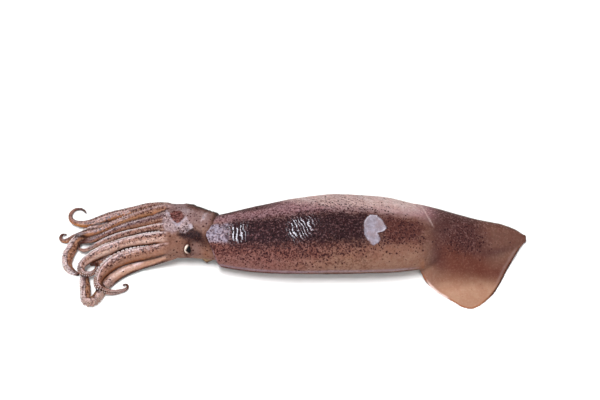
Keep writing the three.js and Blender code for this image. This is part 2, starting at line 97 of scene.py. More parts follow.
# root, heading, length, roll, bends (place, turn, over), height of the middle line, half width.
ARMS = {
    "far_side": (
        (-97.8, 26.8), 152, 99, 50, [(22, 49, 58), (68, -65, 35), (100, -439, 60)],
        [(0, 20), (17, 12), (33, 6), (62, 3.4), (80, 1.8)],
        [(0, 4), (25, 3.9), (46, 4.6), (54, 4.4), (62, 3.3), (75, 1.9), (99, 0.6)]),
    "far_upper": (
        (-97.1, 22.4), 165, 92, 15, [(38, 69, 92), (54, -36, 14), (91, -433, 29)],
        [(0, 25), (14, 18), (30, 11.5), (54, 7), (69, 5.5), (80, 1.8)],
        [(0, 4.2), (22, 3.1), (54, 2.5), (73, 2.1), (92, 0.6)]),
    "far_top": (
        (-96.4, 12.8), 170, 68, 0, [(30, 32, 68), (60, -24, 8)],
        [(0, 27.2), (14, 20), (29, 14.5), (45, 9.5), (59, 6), (68, 4)],
        [(0, 4.4), (22, 3.3), (37, 3), (53, 2), (68, 0.8)]),
    "near_top": (
        (-95.8, 3.9), 172, 79, -130, [(53, 61, 79), (80, -500, 47)],
        [(0, 27.4), (14, 21.5), (29, 15), (45, 9.5), (59, 6), (69, 3.5), (79, 3)],
        [(0, 4.4), (22, 2.9), (45, 2.5), (59, 1.7), (79, 0.6)]),
    "near_upper": (
        (-95.7, -3), 174, 95, -130, [(61, 91, 95), (77, 195, 28), (93, 115, 7)],
        [(0, 25.4), (14, 20.5), (29, 14), (44, 9.5), (58, 8), (74, 7), (95, 4.4)],
        [(0, 4.8), (21, 4.8), (44, 4.9), (58, 3.9), (74, 2.4), (95, 0.6)]),
    "near_side": (
        (-95.8, -8.9), 180, 94, -130, [(57, 147, 81), (66, 65, 11), (95, 500, 23)],
        [(0, 20), (14, 14.5), (29, 10), (43, 7), (65, 7), (77, 2.4), (94, 1.8)],
        [(0, 4.8), (14, 5.2), (32, 6), (43, 5.6), (60, 3.2), (77, 1.8), (94, 0.6)]),
    "near_belly": (
        (-95, -2), 186, 60, 0, [(30, 6, 40)],
        [(0, 8), (20, 5), (60, 2.8)], [(0, 5.5), (20, 5), (45, 4.4), (60, 1.6)]),
    "far_belly": (
        (-95, 17), 181, 66, 0, [(40, 16, 50)],
        [(0, 8), (20, 5.5), (66, 2.8)], [(0, 5.5), (30, 4.6), (52, 3.4), (66, 1.4)]),
    "near_tentacle": (
        (-93.3, -10.4), 185, 100, 100, [(47, 81, 92), (72, -166, 15)],
        [(0, 12), (17, 7), (32, 4.6), (57, 3.6), (99, 3)],
        [(0, 3.2), (17, 3.7), (57, 3.6), (66, 3.3), (83, 3.8), (94, 3.2), (100, 1.6)]),
    "far_tentacle": (
        (-97.4, 30.4), 152, 110, -95, [(39, -375, 70), (39, 470, 86), (99, 104, 32)],
        [(0, 8), (10, 5), (23, 3.8), (61, 3.4), (97, 2.8), (110, 2)],
        [(0, 3.2), (40, 3), (61, 3.4), (88, 4), (97, 3.3), (110, 1.2)]),
}
CLUB_FROM = 0.55  # share of a tentacle's length where its club begins
BROWN_TO = 0.76  # share of the near tentacle's length up to which its club is browner
ARM_ROOT_DEPTH, ROOT_AIM, PATH_STEP = 9.0, np.array([-80.0, 8.0, 13.0]), 0.25
CORNER_ANGLE, CORNER_REACH, SUCKER_SIDE = math.radians(135), 1.12, 0.74
THINNEST_TIP = 0.75
AHEAD = 0.6  # an arm's way is taken from the points this far ahead and behind
NEAR_ARM = 9.0  # no arm's skin lies further than this from its path
CUP_PROFILE = [(0.0, 0.1), (0.45, 0.14), (0.62, 0.5), (0.8, 0.62), (1.0, 0.42), (1.02, -0.05), (0.75, -0.5),
               (0.0, -0.6)]  # (distance from the cup's axis, height), over the cup's radius
CUP_SIDES, CUP_SMALLEST, CUP_OFF_TABLE, CUP_PITCH, CUP_GAP = 12, 0.24, 0.02, 2.05, 0.25

# ---- helpers for numbers


def table(pairs):
    """A smooth curve through (place, size) pairs that never overshoots them."""
    xs, ys = np.array(pairs, float).T
    steps = np.diff(xs)
    slopes = np.diff(ys) / steps
    before, after = slopes[:-1], slopes[1:]
    w1, w2 = 2 * steps[1:] + steps[:-1], steps[1:] + 2 * steps[:-1]
    same = before * after > 0
    safe_before, safe_after = np.where(same, before, 1), np.where(same, after, 1)
    inner = np.where(same, (w1 + w2) / (w1 / safe_before + w2 / safe_after), 0)
    tangents = np.concatenate([slopes[:1], inner, slopes[-1:]])

    def curve(x):
        at = np.clip(x, xs[0], xs[-1])
        i = np.clip(np.searchsorted(xs, at, side="right") - 1, 0, len(steps) - 1)
        h = steps[i]
        s = (at - xs[i]) / h
        r = 1 - s
        return (ys[i] * (1 + 2 * s) * r * r + tangents[i] * h * s * r * r
                + ys[i + 1] * s * s * (3 - 2 * s) - tangents[i + 1] * h * s * s * r)

    return curve


def rise(x, low, high):
    """Goes smoothly from 0 at the low place to 1 at the high one."""
    s = np.clip((x - low) / (high - low), 0, 1)
    return s * s * (3 - 2 * s)


def fall(x, low, high):
    """Goes smoothly from 1 at the low place to 0 at the high one."""
    return 1 - rise(x, low, high)


def bump(x, middle, width):
    return np.exp(-(((x - middle) / width) ** 2))


def wave(x, pitch=1.0):
    return np.sin(2 * np.pi * x / pitch)


def unit(vectors):
    return vectors / np.linalg.norm(vectors, axis=-1, keepdims=True)


def lattice_noise(points, seed):
    """Smooth noise from -1 to 1, with one lump to a unit cell."""
    cell = np.floor(points).astype(np.int64)
    part = points - cell
    part = part * part * (3 - 2 * part)
    total = np.zeros(len(points))
    for corner in range(8):
        step = np.array([corner & 1, corner >> 1 & 1, corner >> 2])
        key = (cell + step) @ np.array([374761393, 668265263, 1440662683]) + seed * 1274126177
        key &= 0xFFFFFFFF
        key = (key ^ (key >> 13)) * 1274126177 & 0xFFFFFFFF
        key ^= key >> 16
        weight = np.prod(np.where(step == 1, part, 1 - part), axis=1)
        total += weight * ((key & 0xFFFFFF) / 0x7FFFFF - 1)
    return total


def fractal(points, size, seed, layers=3):
    """Noise with finer layers on top; size is the coarsest lump in millimetres."""
    return sum(lattice_noise(points * (2 ** layer / size), seed + layer) / 2 ** layer
               for layer in range(layers))


def line_distance(plan, line):
    """How far each plan point lies from a chain of straight lines."""
    nearest = np.full(len(plan), 1e9)
    for start, end in zip(np.array(line[:-1], float), np.array(line[1:], float)):
        edge = end - start
        t = np.clip(((plan - start) @ edge) / (edge @ edge), 0, 1)
        nearest = np.minimum(nearest, np.linalg.norm(plan - start - t[:, None] * edge, axis=1))
    return nearest


def outline_depth(plan, outline):
    """How far each plan point lies inside a closed outline: negative outside it."""
    closed = np.array(outline + outline[:1], float)
    nearest = line_distance(plan, closed)
    inside = np.zeros(len(plan), bool)
    for start, end in zip(closed[:-1], closed[1:]):
        edge = end - start
        crosses = (start[1] > plan[:, 1]) != (end[1] > plan[:, 1])
        slope = edge[0] / (edge[1] or 1e-9)
        inside ^= crosses & (plan[:, 0] < start[0] + (plan[:, 1] - start[1]) * slope)
    return np.where(inside, nearest, -nearest)


def linear(colour):
    """A tuple is a colour as shown on a screen, 0 to 255; an array is linear light already."""
    if isinstance(colour, np.ndarray):
        return colour
    shown = np.array(colour) / 255
    return np.where(shown <= 0.04045, shown / 12.92, ((shown + 0.055) / 1.055) ** 2.4)


def painted(base, *layers):
    """Lays colours over a base in turn, each by its own weight at every point."""
    tone = linear(base)
    for colour, weight in layers:
        tone = tone + (linear(colour) - tone) * np.clip(weight, 0, 1)[:, None]
    return tone


# ---- helpers for meshes


def tube(stations, sides, ring_point):
    """A closed tube with a ring at each station, as (points, faces) that face out."""
    angles = np.linspace(0, 2 * np.pi, sides, endpoint=False)
    skin = ring_point(*np.meshgrid(stations, angles, indexing="ij"))
    points = np.concatenate([skin.reshape(-1, 3), skin[[0, -1]].mean(1)])
    first, last = len(points) - 2, len(points) - 1
    index = np.arange(first).reshape(-1, sides)
    after = np.roll(index, -1, axis=1)
    faces = np.stack([index[:-1], index[1:], after[1:], after[:-1]], -1).reshape(-1, 4).tolist()
    faces += [[first, int(a), int(b)] for a, b in zip(index[0], after[0])]
    faces += [[last, int(b), int(a)] for a, b in zip(index[-1], after[-1])]
    corners = np.array([[f[0], f[i], f[i + 1]] for f in faces for i in range(1, len(f) - 1)])
    a, b, c = points[corners.T]
    if (np.cross(a, b) * c).sum() < 0:
        faces = [f[::-1] for f in faces]
    return points, faces


def linked(name, data):
    made = bpy.data.objects.new(name, data)
    bpy.context.scene.collection.objects.link(made)
    return made


def object_of(name, points, faces):
    mesh = bpy.data.meshes.new(name)
    mesh.from_pydata(((points + SHIFT) * MM).tolist(), [], faces)
    mesh.update()
    return linked(name, mesh)


def settle(piece):
    """Turns what the modifiers make into the piece's own mesh."""
    bpy.context.view_layer.update()
    made = bpy.data.meshes.new_from_object(piece.evaluated_get(bpy.context.evaluated_depsgraph_get()))
    old = piece.data
    piece.modifiers.clear()
    piece.data = made
    made.materials.clear()
    made.name = piece.name
    bpy.data.meshes.remove(old)


def combine(piece, others, operation):
    """Joins closed meshes to the piece, or cuts them from it."""
    tools = []
    for points, faces in others:
        tool = object_of("tool", points, faces)
        tools.append(tool)
        step = piece.modifiers.new("combine", "BOOLEAN")
        step.operation = operation
        step.solver = "MANIFOLD"
        step.object = tool
    settle(piece)
    for tool in tools:
        mesh = tool.data
        bpy.data.objects.remove(tool)
        bpy.data.meshes.remove(mesh)


def remesh(piece, voxel):
    step = piece.modifiers.new("even", "REMESH")
    step.mode = "VOXEL"
    step.voxel_size = voxel * MM
    step.adaptivity = 0
    settle(piece)


def vectors_of(items, name):
    flat = np.empty(len(items) * 3)
    items.foreach_get(name, flat)
    return flat.reshape(-1, 3)


def points_of(piece):
    return vectors_of(piece.data.vertices, "co") / MM - SHIFT


def move_points(piece, points):
    points[:, 2] = np.maximum(points[:, 2], 0)
    piece.data.vertices.foreach_set("co", ((points + SHIFT) * MM).ravel())
    piece.data.update()


def raise_skin(piece, points, relief):
    move_points(piece, points + relief[:, None] * vectors_of(piece.data.vertex_normals, "vector"))


def relax(piece, rounds):
    """Smooths the mesh without shrinking it."""
    pairs = np.empty(len(piece.data.edges) * 2, np.int64)
    piece.data.edges.foreach_get("vertices", pairs)
    a, b = pairs.reshape(-1, 2).T
    points = points_of(piece)
    count = np.bincount(pairs, minlength=len(points))
    for share in [SMOOTH_IN, SMOOTH_OUT] * rounds:
        mean = np.empty_like(points)
        for axis, value in enumerate(points.T):
            total = np.bincount(a, value[b], len(points)) + np.bincount(b, value[a], len(points))
            mean[:, axis] = total / np.maximum(count, 1)
        points = points + share * (mean - points)
    move_points(piece, points)


def keep(piece, skin=None, **values):
    """Stores what the piece's material reads at its points: a colour, and values by name."""
    mesh = piece.data
    if skin is not None:
        rgba = np.concatenate([np.clip(skin, 0, 1), np.ones((len(skin), 1))], axis=1).astype(np.float32)
        mesh.attributes.new("skin", "FLOAT_COLOR", "POINT").data.foreach_set("color", rgba.ravel())
    for name, value in values.items():
        value = np.broadcast_to(value, len(mesh.vertices)).astype(np.float32)
        mesh.attributes.new(name, "FLOAT", "POINT").data.foreach_set("value", value)
    mesh.shade_smooth()


# ---- mantle and fins

near_half, far_half = table(NEAR_HALF), table(FAR_HALF)
mantle_top, mantle_middle = table(MANTLE_TOP), table(MANTLE_MIDDLE)


def from_back(angle):
    return (angle - BACK_ANGLE + np.pi) % (2 * np.pi) - np.pi


def rim_forward(turn):
    """How far the mantle's rim stands forward of its mouth, by the angle from the back."""
    spread = np.where(turn > 0, LOBE_SPREAD_FAR, LOBE_SPREAD)
    lobe = LOBE_REACH * np.exp(-(np.abs(turn / spread) ** LOBE_POINT))
    return lobe + RIM_SLANT * (np.cos(turn) - RIM_TURN)


def mantle_skin(share, angle, swell=0.0):
    """Points on the mantle; the angle is 0 on the near side, 90 degrees on top and 180 on the far side."""
    tall = mantle_top(share) / (1 + BELLY_SINK) + swell
    half = np.where(np.cos(angle) > 0, near_half(share), far_half(share)) + swell
    forward = rim_forward(from_back(angle)) * np.maximum(0, 1 - share / LOBE_DEPTH)
    return np.stack([
        MOUTH_X + MANTLE_LENGTH * share - forward,
        mantle_middle(share) - half * np.cos(angle),
        np.maximum(0, BELLY_SINK * (tall - swell) + tall * np.sin(angle)),
    ], -1)


def sheet_section(angle):
    return (1 - np.cos(angle)) / 2, np.clip(np.sin(angle) / EDGE_ROUND, -1, 1)


def near_fin():
    rim_reach, rim_lift = table(FIN_RIM), table(FIN_LIFT)

    def fin_point(station, angle):
        across, face = sheet_section(angle)
        x = FIN_FROM + (TAIL_X - FIN_FROM) * station
        share = (x - MOUTH_X) / MANTLE_LENGTH
        half = near_half(share)
        tall = mantle_top(share) / (1 + BELLY_SINK)
        inner = half * FIN_LEAVES
        outer = np.maximum(inner + 1, rim_reach(station) + mantle_middle(share))
        out = (inner - FIN_ROOT_DEPTH) * (1 - across) + outer * across
        leave_height = tall * (BELLY_SINK + math.sqrt(1 - FIN_LEAVES ** 2)) - FIN_EDGE
        drop = np.exp(-((np.maximum(0, out - inner) / (FIN_SLOPE * half)) ** 1.5))
        slope = leave_height * drop * fall(across, FIN_FLAT_FROM, 1)
        thick = FIN_THICK + (FIN_EDGE - FIN_THICK) * across ** 0.5
        sink = FIN_ROOT_SINK * fall(across, 0, FIN_FLAT_FROM)
        middle = FIN_EDGE + slope - sink + rim_lift(station) * across ** 3 - thick / 2
        return np.stack([x, mantle_middle(share) - out, np.maximum(0, middle + face * thick / 2)], -1)

    return tube(np.linspace(0, 1, 150), 120, fin_point)


def far_fin():
    front, swell = table(FOLD_FRONT), table(FOLD_SWELL)

    def fold_point(station, angle):
        across, face = sheet_section(angle)
        x = front(across) + (TAIL_X - front(across)) * station
        share = (x - MOUTH_X) / MANTLE_LENGTH
        around = np.radians(FOLD_ANGLES[0] + (FOLD_ANGLES[1] - FOLD_ANGLES[0]) * across)
        full = rise(across, 0, FOLD_FADE)
        outward = np.where(face > 0, face * (swell(station) * full - (1 - full)), face * FOLD_ROOT_DEPTH)
        return mantle_skin(share, around, outward * np.minimum(1, mantle_top(share) / 12))

    return tube(np.linspace(0, 1, 120), 140, fold_point)


# ---- head, funnel and eyes

head_middle, head_half, head_tall, head_centre = map(table, (HEAD_MIDDLE, HEAD_HALF, HEAD_TALL, HEAD_CENTRE))


def head_skin(x, angle, grow=0.0):
    near = np.maximum(0, np.cos(angle - EYE_ANGLES["near"]))
    far = np.maximum(0, np.cos(angle - EYE_ANGLES["far"]))
    swell = EYE_BULGE * bump(x, EYE_X, EYE_RADIUS) * np.maximum(near, far) ** 3
    return np.stack([
        x,
        head_middle(x) - (head_half(x) + grow + swell) * np.cos(angle),
        np.maximum(0, head_centre(x) + (head_tall(x) + grow + swell / 2) * np.sin(angle)),
    ], -1)


def neck_room():
    def room_point(x, angle):
        skin = head_skin(np.minimum(x, NECK_X), angle, FIT_GAP)
        skin[..., 0] = x
        return skin

    return tube(np.linspace(CROWN_X, NECK_X + FIT_GAP, 90), 96, room_point)


def eye_axes(angle):
    """Where an eye looks out of the head, and the way out, along and up its lids."""
    seat = head_skin(np.array(EYE_X), np.array(angle))
    out = np.array([0, -math.cos(angle), math.sin(angle)])
    along = np.array([1.0, 0, 0])
    return seat, out, along, np.cross(out, along) * math.copysign(1, math.cos(angle))


def lid_slit(angle):
    """The oval plug that cuts the slit between the lids."""
    seat, out, along, up = eye_axes(angle)
    seat = seat + SLIT_SHIFT * along

    def plug_point(depth, turn):
        taper = 1 + 0.04 * depth
        return (seat + depth[..., None] * out + (SLIT_WIDE / 2 * taper * np.cos(turn))[..., None] * along
                + (SLIT_TALL / 2 * taper * np.sin(turn))[..., None] * up)

    return tube(np.linspace(-SLIT_DEPTH, 3, 8), 48, plug_point)


def funnel():
    """The funnel and its bore, as two cones on one line."""
    line = FUNNEL_TO - FUNNEL_FROM
    side = unit(np.cross(line, UP))
    up = unit(np.cross(side, line))

    def cone(start, end, wide, tip, rings, sides):
        def cone_point(station, angle):
            reach = wide + (tip - wide) * station
            at = start + (end - start) * station
            point = (FUNNEL_FROM + at[..., None] * line + (reach * np.cos(angle))[..., None] * side
                     - (reach * np.sin(angle))[..., None] * up)
            point[..., 2] = np.maximum(point[..., 2], 0)
            return point

        return tube(np.linspace(0, 1, rings), sides, cone_point)

    depth = FUNNEL_BORE_DEPTH / np.linalg.norm(line)
    return (cone(0, 1, FUNNEL_WIDE, FUNNEL_TIP, 24, 48),
            cone(1 - depth, 1 + depth, FUNNEL_BORE, FUNNEL_BORE + 0.5, 8, 32))


# ---- arms and tentacles


class Arm:
    """One arm's path, frame and section."""

    def __init__(self, name):
        root, heading, self.length, roll, bends, high, girth = ARMS[name]
        self.name = name
        self.roll = math.radians(roll)
        self.girth_at, self.high_at = table(girth), table(high)
        self.along = np.arange(0, self.length + PATH_STEP, PATH_STEP)
        middle = self.along[:-1] + PATH_STEP / 2
        way = np.full(len(middle), float(heading))
        for at, turn, over in bends:
            way += turn * rise(middle, at - over / 2, at + over / 2)
        way = np.radians(way)
        self.x = root[0] + np.concatenate([[0], np.cumsum(PATH_STEP * np.cos(way))])
        self.y = root[1] + np.concatenate([[0], np.cumsum(PATH_STEP * np.sin(way))])
        straight = np.array([-math.cos(way[0]), -math.sin(way[0]), 0])
        self.inward = unit(unit(ROOT_AIM - self.path(np.array(0.0))) + straight)

    def path(self, along):
        at = np.maximum(along, 0)
        point = np.stack([np.interp(at, self.along, self.x), np.interp(at, self.along, self.y),
                          self.high_at(at)], -1)
        if np.any(along < 0):
            point = point + np.maximum(-along, 0)[..., None] * self.inward
        return point

    def axes(self, along):
        """The ways ahead, to the side and up at places along the arm."""
        ahead = unit(self.path(along + AHEAD) - self.path(along - AHEAD))
        side = unit(np.cross(ahead, UP))
        return ahead, side, np.cross(side, ahead)

    def skin(self, along, turn):
        """Points at an angle from the arm's back: rounded, with a keel and a flat sucker side."""
        _, side, up = self.axes(along)
        away = np.abs((turn + np.pi) % (2 * np.pi) - np.pi)
        rounded = 1 + (CORNER_REACH - 1) * rise(away, CORNER_ANGLE / 2, CORNER_ANGLE)
        inward = np.sin(np.pi / 2 * np.clip((away - CORNER_ANGLE) / (np.pi - CORNER_ANGLE), 0, 1))
        flat = CORNER_REACH + (SUCKER_SIDE - CORNER_REACH) * inward
        keel = 0.07 * bump(away, 0, math.radians(22))
        reach = np.maximum(self.girth_at(along), THINNEST_TIP) * (
            np.where(away <= CORNER_ANGLE, rounded, flat) + keel)
        swing = (turn + self.roll)[..., None]
        point = self.path(along) + reach[..., None] * (side * np.sin(swing) + up * np.cos(swing))
        point[..., 2] = np.maximum(point[..., 2], 0)
        return point

    def solid(self):
        places = [-ARM_ROOT_DEPTH]
        while places[-1] < self.length:
            places.append(min(self.length, places[-1] + 0.45 + 0.12 * float(self.girth_at(places[-1]))))
        return tube(np.array(places), 28, self.skin)

    def cup_rows(self):
        """Rows of suckers as (angle from the middle of the sucker side, size over the girth, first, last)."""
        end = self.length
        if self.name.endswith("tentacle"):
            club = CLUB_FROM * end
            return [(-38, 0.24, club, end - 2), (-13, 0.36, club, end - 3),
                    (13, 0.36, club, end - 3), (38, 0.24, club, end - 2)]
        return [(-24, 0.21, 6, end - 2), (24, 0.21, 6, end - 2)]


arms = [Arm(name) for name in ARMS]


def unit_cup():
    """One sucker of radius 1: (out, ahead, across) points, faces, and which points are in its hollow."""
    turns = np.linspace(0, 2 * np.pi, CUP_SIDES, endpoint=False)
    points = [(height, reach * math.cos(t), reach * math.sin(t))
              for reach, height in CUP_PROFILE for t in (turns if reach else [0.0])]
    levels = len(CUP_PROFILE) - 2
    faces = []
    for side in range(CUP_SIDES):
        rings = [(1 + level * CUP_SIDES + side, 1 + level * CUP_SIDES + (side + 1) % CUP_SIDES)
                 for level in range(levels)]
        faces.append([0, *rings[0]])
        faces += [[a, c, d, b] for (a, b), (c, d) in zip(rings, rings[1:])]
        faces.append([rings[-1][0], len(points) - 1, rings[-1][1]])
    inner = 1 + CUP_SIDES
    hollow = [float(i < inner or i == len(points) - 1) for i in range(len(points))]
    return np.array(points), faces, hollow


def suckers():
    cup_points, cup_faces, cup_hollow = unit_cup()
    points, faces, browned = [], [], []
    for arm in arms:
        for row, (angle, size, first, last) in enumerate(arm.cup_rows()):
            along = first + (row % 2) * 0.5
            while along < last:
                at = np.array(along)
                radius = size * max(float(arm.girth_at(at)), THINNEST_TIP)
                seat = arm.skin(at, np.array(math.pi + math.radians(angle)))
                if seat[2] > 0.5 and radius > CUP_SMALLEST:
                    out = unit(seat - arm.path(at))
                    across = unit(np.cross(out, arm.axes(at)[0]))
                    start = len(points) * len(cup_points)
                    faces += [[start + corner for corner in face] for face in cup_faces]
                    points.append(seat + radius * cup_points @ np.array([out, np.cross(across, out), across]))
                    browned.append(float(arm.name == "near_tentacle" and along < BROWN_TO * arm.length))
                along += CUP_PITCH * radius + CUP_GAP
    hollow = np.tile(cup_hollow, len(points))
    browned = np.repeat(browned, len(cup_points))
    points = np.concatenate(points)
    points[:, 2] = np.maximum(points[:, 2], CUP_OFF_TABLE)
    return points, faces, hollow, browned


# ---- mantle piece: form and relief

PATCH = [(45.6, -5.4), (46.2, -0.5), (47.8, 2.8), (51.5, 4.8), (55.4, 4.2), (58.4, 0.6), (60.6, -2.8),
         (61.8, -6.4), (58.6, -9.0), (55.0, -10.4), (58.2, -13.2), (56.4, -15.6), (52.1, -17.9),
         (48.6, -15.4), (46.2, -11.0)]
FOLD_FRONT_PLAN = [(0, 96.5), (3.5, 94.9), (10, 92), (16, 90), (22.6, 88), (30, 87)]  # (across, along)
CREASE_PITCH, BETWEEN_CREASES = 2.7, -24.0

even = np.linspace(0, 1, 260)
mantle = object_of("mantle_skin_and_fins", *tube(even - 0.05 * wave(even), 170, mantle_skin))
combine(mantle, [near_fin(), far_fin()], "UNION")
combine(mantle, [neck_room()], "DIFFERENCE")
remesh(mantle, MANTLE_VOXEL)
relax(mantle, 4)

spot = points_of(mantle)
x, y, z = spot.T
plan = spot[:, :2]
share = np.clip((x - MOUTH_X) / MANTLE_LENGTH, 0, 1)
tall = mantle_top(share) / (1 + BELLY_SINK)
offset = mantle_middle(share) - y
half = np.where(offset > 0, near_half(share), far_half(share))
turn = np.degrees(from_back(np.arctan2((z - BELLY_SINK * tall) / tall, offset / half)))
on_fin = rise(offset - half * 0.86, 0, 6) * rise(x, 84, 92)
patch_depth = np.where(z > 20, outline_depth(plan, PATCH) + 0.7 * fractal(spot, 3.2, 5, 2), -20)

# Relief: low swells, fine puckers, the two creased zones of the back, the torn patch and the fin's ribs.
fine = fractal(spot, 5, 71)
front_crease = bump(x + 2 * fine, -45.5, 7.5) * bump(turn, 3, 21)
middle_crease = bump(x - 0.2 * turn + 3 * fine, 0.5, 10) * bump(turn, 3, 19)
creased = front_crease + middle_crease
crease_phase = np.where(x < BETWEEN_CREASES, x + 0.04 * turn + 1.2 * fractal(spot, 4, 21, 2),
                        x + 0.27 * turn + 1.4 * fractal(spot, 5, 31, 2)) / CREASE_PITCH
fin_ribs = wave(x + 0.12 * y + 1.2 * fractal(spot, 12, 41, 2), 2.6)
relief = (0.30 * fractal(spot, 22, 3, 2) + 0.06 * fractal(spot, 4.5, 9, 2)
          + 0.05 * creased * wave(crease_phase)
          - 0.28 * rise(patch_depth, -0.2, 0.9) + 0.22 * bump(patch_depth, -0.5, 0.8)
          + on_fin * (0.05 * fin_ribs + 0.15 * fractal(spot, 14, 45, 2) - 0.06))
raise_skin(mantle, spot, relief * rise(z, 0, 1.2))

# ---- mantle piece: colours of the back, the two sides, the fins and the belly, with painted shade and highlights

BACK_MAROON, BAND_RED, SPECK_TAN = (30, 11, 19), (90, 53, 47), (74, 46, 44)
FRINGE_BROWN, NAPE_LILAC, UPPER_MAUVE = (108, 66, 60), (144, 136, 152), (141, 107, 112)
FAR_PINK, FRONT_RUSSET, SIDE_TAN = (190, 168, 164), (126, 87, 81), (128, 96, 81)
BELLY_CREAM, TAIL_GREY, TAIL_TAN = (196, 172, 156), (76, 50, 48), (100, 69, 60)
FIN_BROWN, FIN_TAN, ARM_ORANGE = (94, 55, 45), (163, 126, 104), (136, 78, 42)
# Painted light: a dark for painted shade, and a pale for a painted highlight on the spread fin's front edge.
SHADE_DARK, FIN_EDGE_HIGHLIGHT = (52, 28, 24), (226, 212, 208)

cloud = fractal(spot, 16, 61)
tiny = fractal(spot, 2.4, 77, 2)
ragged_x = x + 2 * fine + 3 * tiny
sideways = np.abs(turn)
body = 1 - on_fin
fin_reach = -y

# The dark band along the back, paler behind the torn patch, its speckled fringes and the lilac nape.
band_half = 20 - 3 * rise(x, 40, 90)
behind_patch = rise(x, 50, 66)
from_band = np.abs(turn - 2 + 2.5 * fine + 3 * tiny) - band_half
band = fall(from_band, -6, 12 + 4 * (turn < 0)) * rise(ragged_x, -56, -48) * fall(x + 3 * fine, 84, 96)
band_weight = band * (1 - 0.55 * behind_patch)
nape = fall(ragged_x, -56, -47) * fall(np.abs(turn - 1 + 2 * tiny) - 20, -4, 4)
speckle = bump(x + 3 * cloud, 120, 14) * bump(y, -3, 12) * (1 - 0.7 * on_fin)
lower_fringe = (rise(-turn, band_half - 8, band_half + 2)
                * fall(-turn + 9 * fine, band_half + 8, band_half + 36) * (1 - 0.6 * rise(x, 20, 70)))
fringe = bump(np.abs(turn - 2) - band_half, 9, 12) * fall(x, 30, 70) * rise(x, -52, -40)

# The spread fin's rim and the folded fin's front line.
rim_at = np.linspace(0, 1, 60)
rim_x = FIN_FROM + (TAIL_X - FIN_FROM) * rim_at
fin_depth = outline_depth(plan, [(TAIL_X, 12), (FIN_FROM, 12), *zip(rim_x, -table(FIN_RIM)(rim_at))])
margin = on_fin * fall(fin_depth + 0.3 * fine, 0.4, 1.6 + 0.7 * rise(x, 128, 142))
tan_from = 20 - 0.05 * (x - 118) + 5 * fall(x, 90, 106)
fold_line = bump(x - table(FOLD_FRONT_PLAN)(y), 0.4, 0.55) * (z > 20) * rise(turn, 6, 22)
pink_from = 62 - 44 * rise(x, -40, 40)
from_rim = x - MOUTH_X + rim_forward(np.radians(turn))

tone = painted(
    SIDE_TAN,
    (FRONT_RUSSET, rise(-x + 10 * cloud, -38, 30) * rise(-turn, -30, 10)),
    (UPPER_MAUVE, rise(turn + 6 * cloud, 12, 34)),
    (FAR_PINK, rise(turn + 8 * cloud, pink_from, pink_from + 30) * fall(x, 80, 96)),
    (BELLY_CREAM, rise(sideways + 8 * cloud, 96, 150)),
    (TAIL_GREY, rise(x + 4 * cloud, 84, 104) * rise(100 - sideways, 0, 40)),
    (FIN_BROWN, rise(x, 92, 112) * rise(fin_reach + 3 * cloud, 2, 16)),
    (FIN_TAN, on_fin * rise(fin_reach + 0.8 * cloud, tan_from, tan_from + 17)),
    (ARM_ORANGE, 0.8 * margin),
    # painted shade: a dark line along the spread fin's raised trailing edge
    (SHADE_DARK, margin * rise(x, 128, 142)),
    # painted highlight: a pale line along the spread fin's front edge
    (FIN_EDGE_HIGHLIGHT, 0.9 * margin * rise(x, 91, 95) * fall(x + 3 * fine, 102, 110)),
    (FAR_PINK, 0.16 * on_fin * bump(fin_depth, 2.6, 1.0) * rise(x, 138, 146)),
    (FAR_PINK, 0.62 * fold_line),
    (NAPE_LILAC, nape),
    (FRINGE_BROWN, 0.6 * lower_fringe * body * fall(x, 80, 92)),
    (BAND_RED, 0.95 * band * behind_patch),
    (BACK_MAROON, 0.95 * band_weight * (1 - 0.5 * behind_patch)),
    (SPECK_TAN, 0.8 * speckle),
    (TAIL_TAN, rise(x + 3 * cloud, 124, 142) * body * (1 - speckle)),
    # painted shade: the tail's tip darkened in cloudy patches
    (SHADE_DARK, 0.3 * rise(x, 150, 166) * rise(z, 0, 3) * rise(cloud, -0.4, 0.6)),
    # painted shade: darker towards the table along the mantle's foot, fading out towards the tail
    (SHADE_DARK, 0.35 * fall(z, 1.5, 9) * body * rise(80 - x, 0, 20)),
    (NAPE_LILAC, (0.4 + 0.4 * fine) * bump(from_rim, 0.3, 0.7) * rise(-turn, -25, 5)),
    # Painted light along the near side's foot: a pale line of painted light thrown up from the floor and a
    # dark line of painted shade, then painted shade on the foot down to the table and on the far shoulder.
    (NAPE_LILAC, 0.5 * bump(turn, -78, 4) * body * fall(x, 74, 90)),
    (SHADE_DARK, 0.75 * rise(-turn, 81, 88) * fall(-turn + 8 * fine, 98, 132) * body * fall(x, 82, 92)),
    (SHADE_DARK, 0.9 * fall(z, 0.8, 2.8) * body),
    (SHADE_DARK, 0.85 * rise(turn + 3 * fine, 40, 57) * fall(turn, 78, 94) * fall(x, -30, 0)),
)
dots = (1.25 * band_weight + 0.5 * band * behind_patch + 0.42 * fringe + 2.0 * speckle + 0.95 * lower_fringe
        + 0.5 * rise(-turn, 5, 25) * fall(-turn, 52, 80) * fall(x, 5, 60)
        + 0.3 * rise(turn, 15, 35) * fall(x, 60, 90)
        + 0.2 * nape + 0.4 * bump(turn, 19, 3.5) * fall(x, -48, -36) + 0.14 + 0.1 * fine)
dots *= ((1 - 0.85 * rise(sideways, 95, 140)) * (1 - 0.9 * on_fin * rise(fin_reach, 18, 30))
         * (1 - 0.55 * rise(x, 84, 94) * (1 - speckle)))
on_tail = rise(x, 80, 96)
grain = ((0.5 + 0.3 * band_weight + 0.4 * bump(turn, 0, 50) * fall(x, 10, 60)) * (1 - 0.72 * on_tail)
         * (1 - 0.6 * rise(x, 45, 62) * (1 - on_tail)) * (1 - 0.6 * on_fin)
         * (1 - 0.5 * rise(sideways, 50, 90)))
sparkle = np.clip(creased, 0, 1) * rise(tiny + fine, -1.2, 0.3)
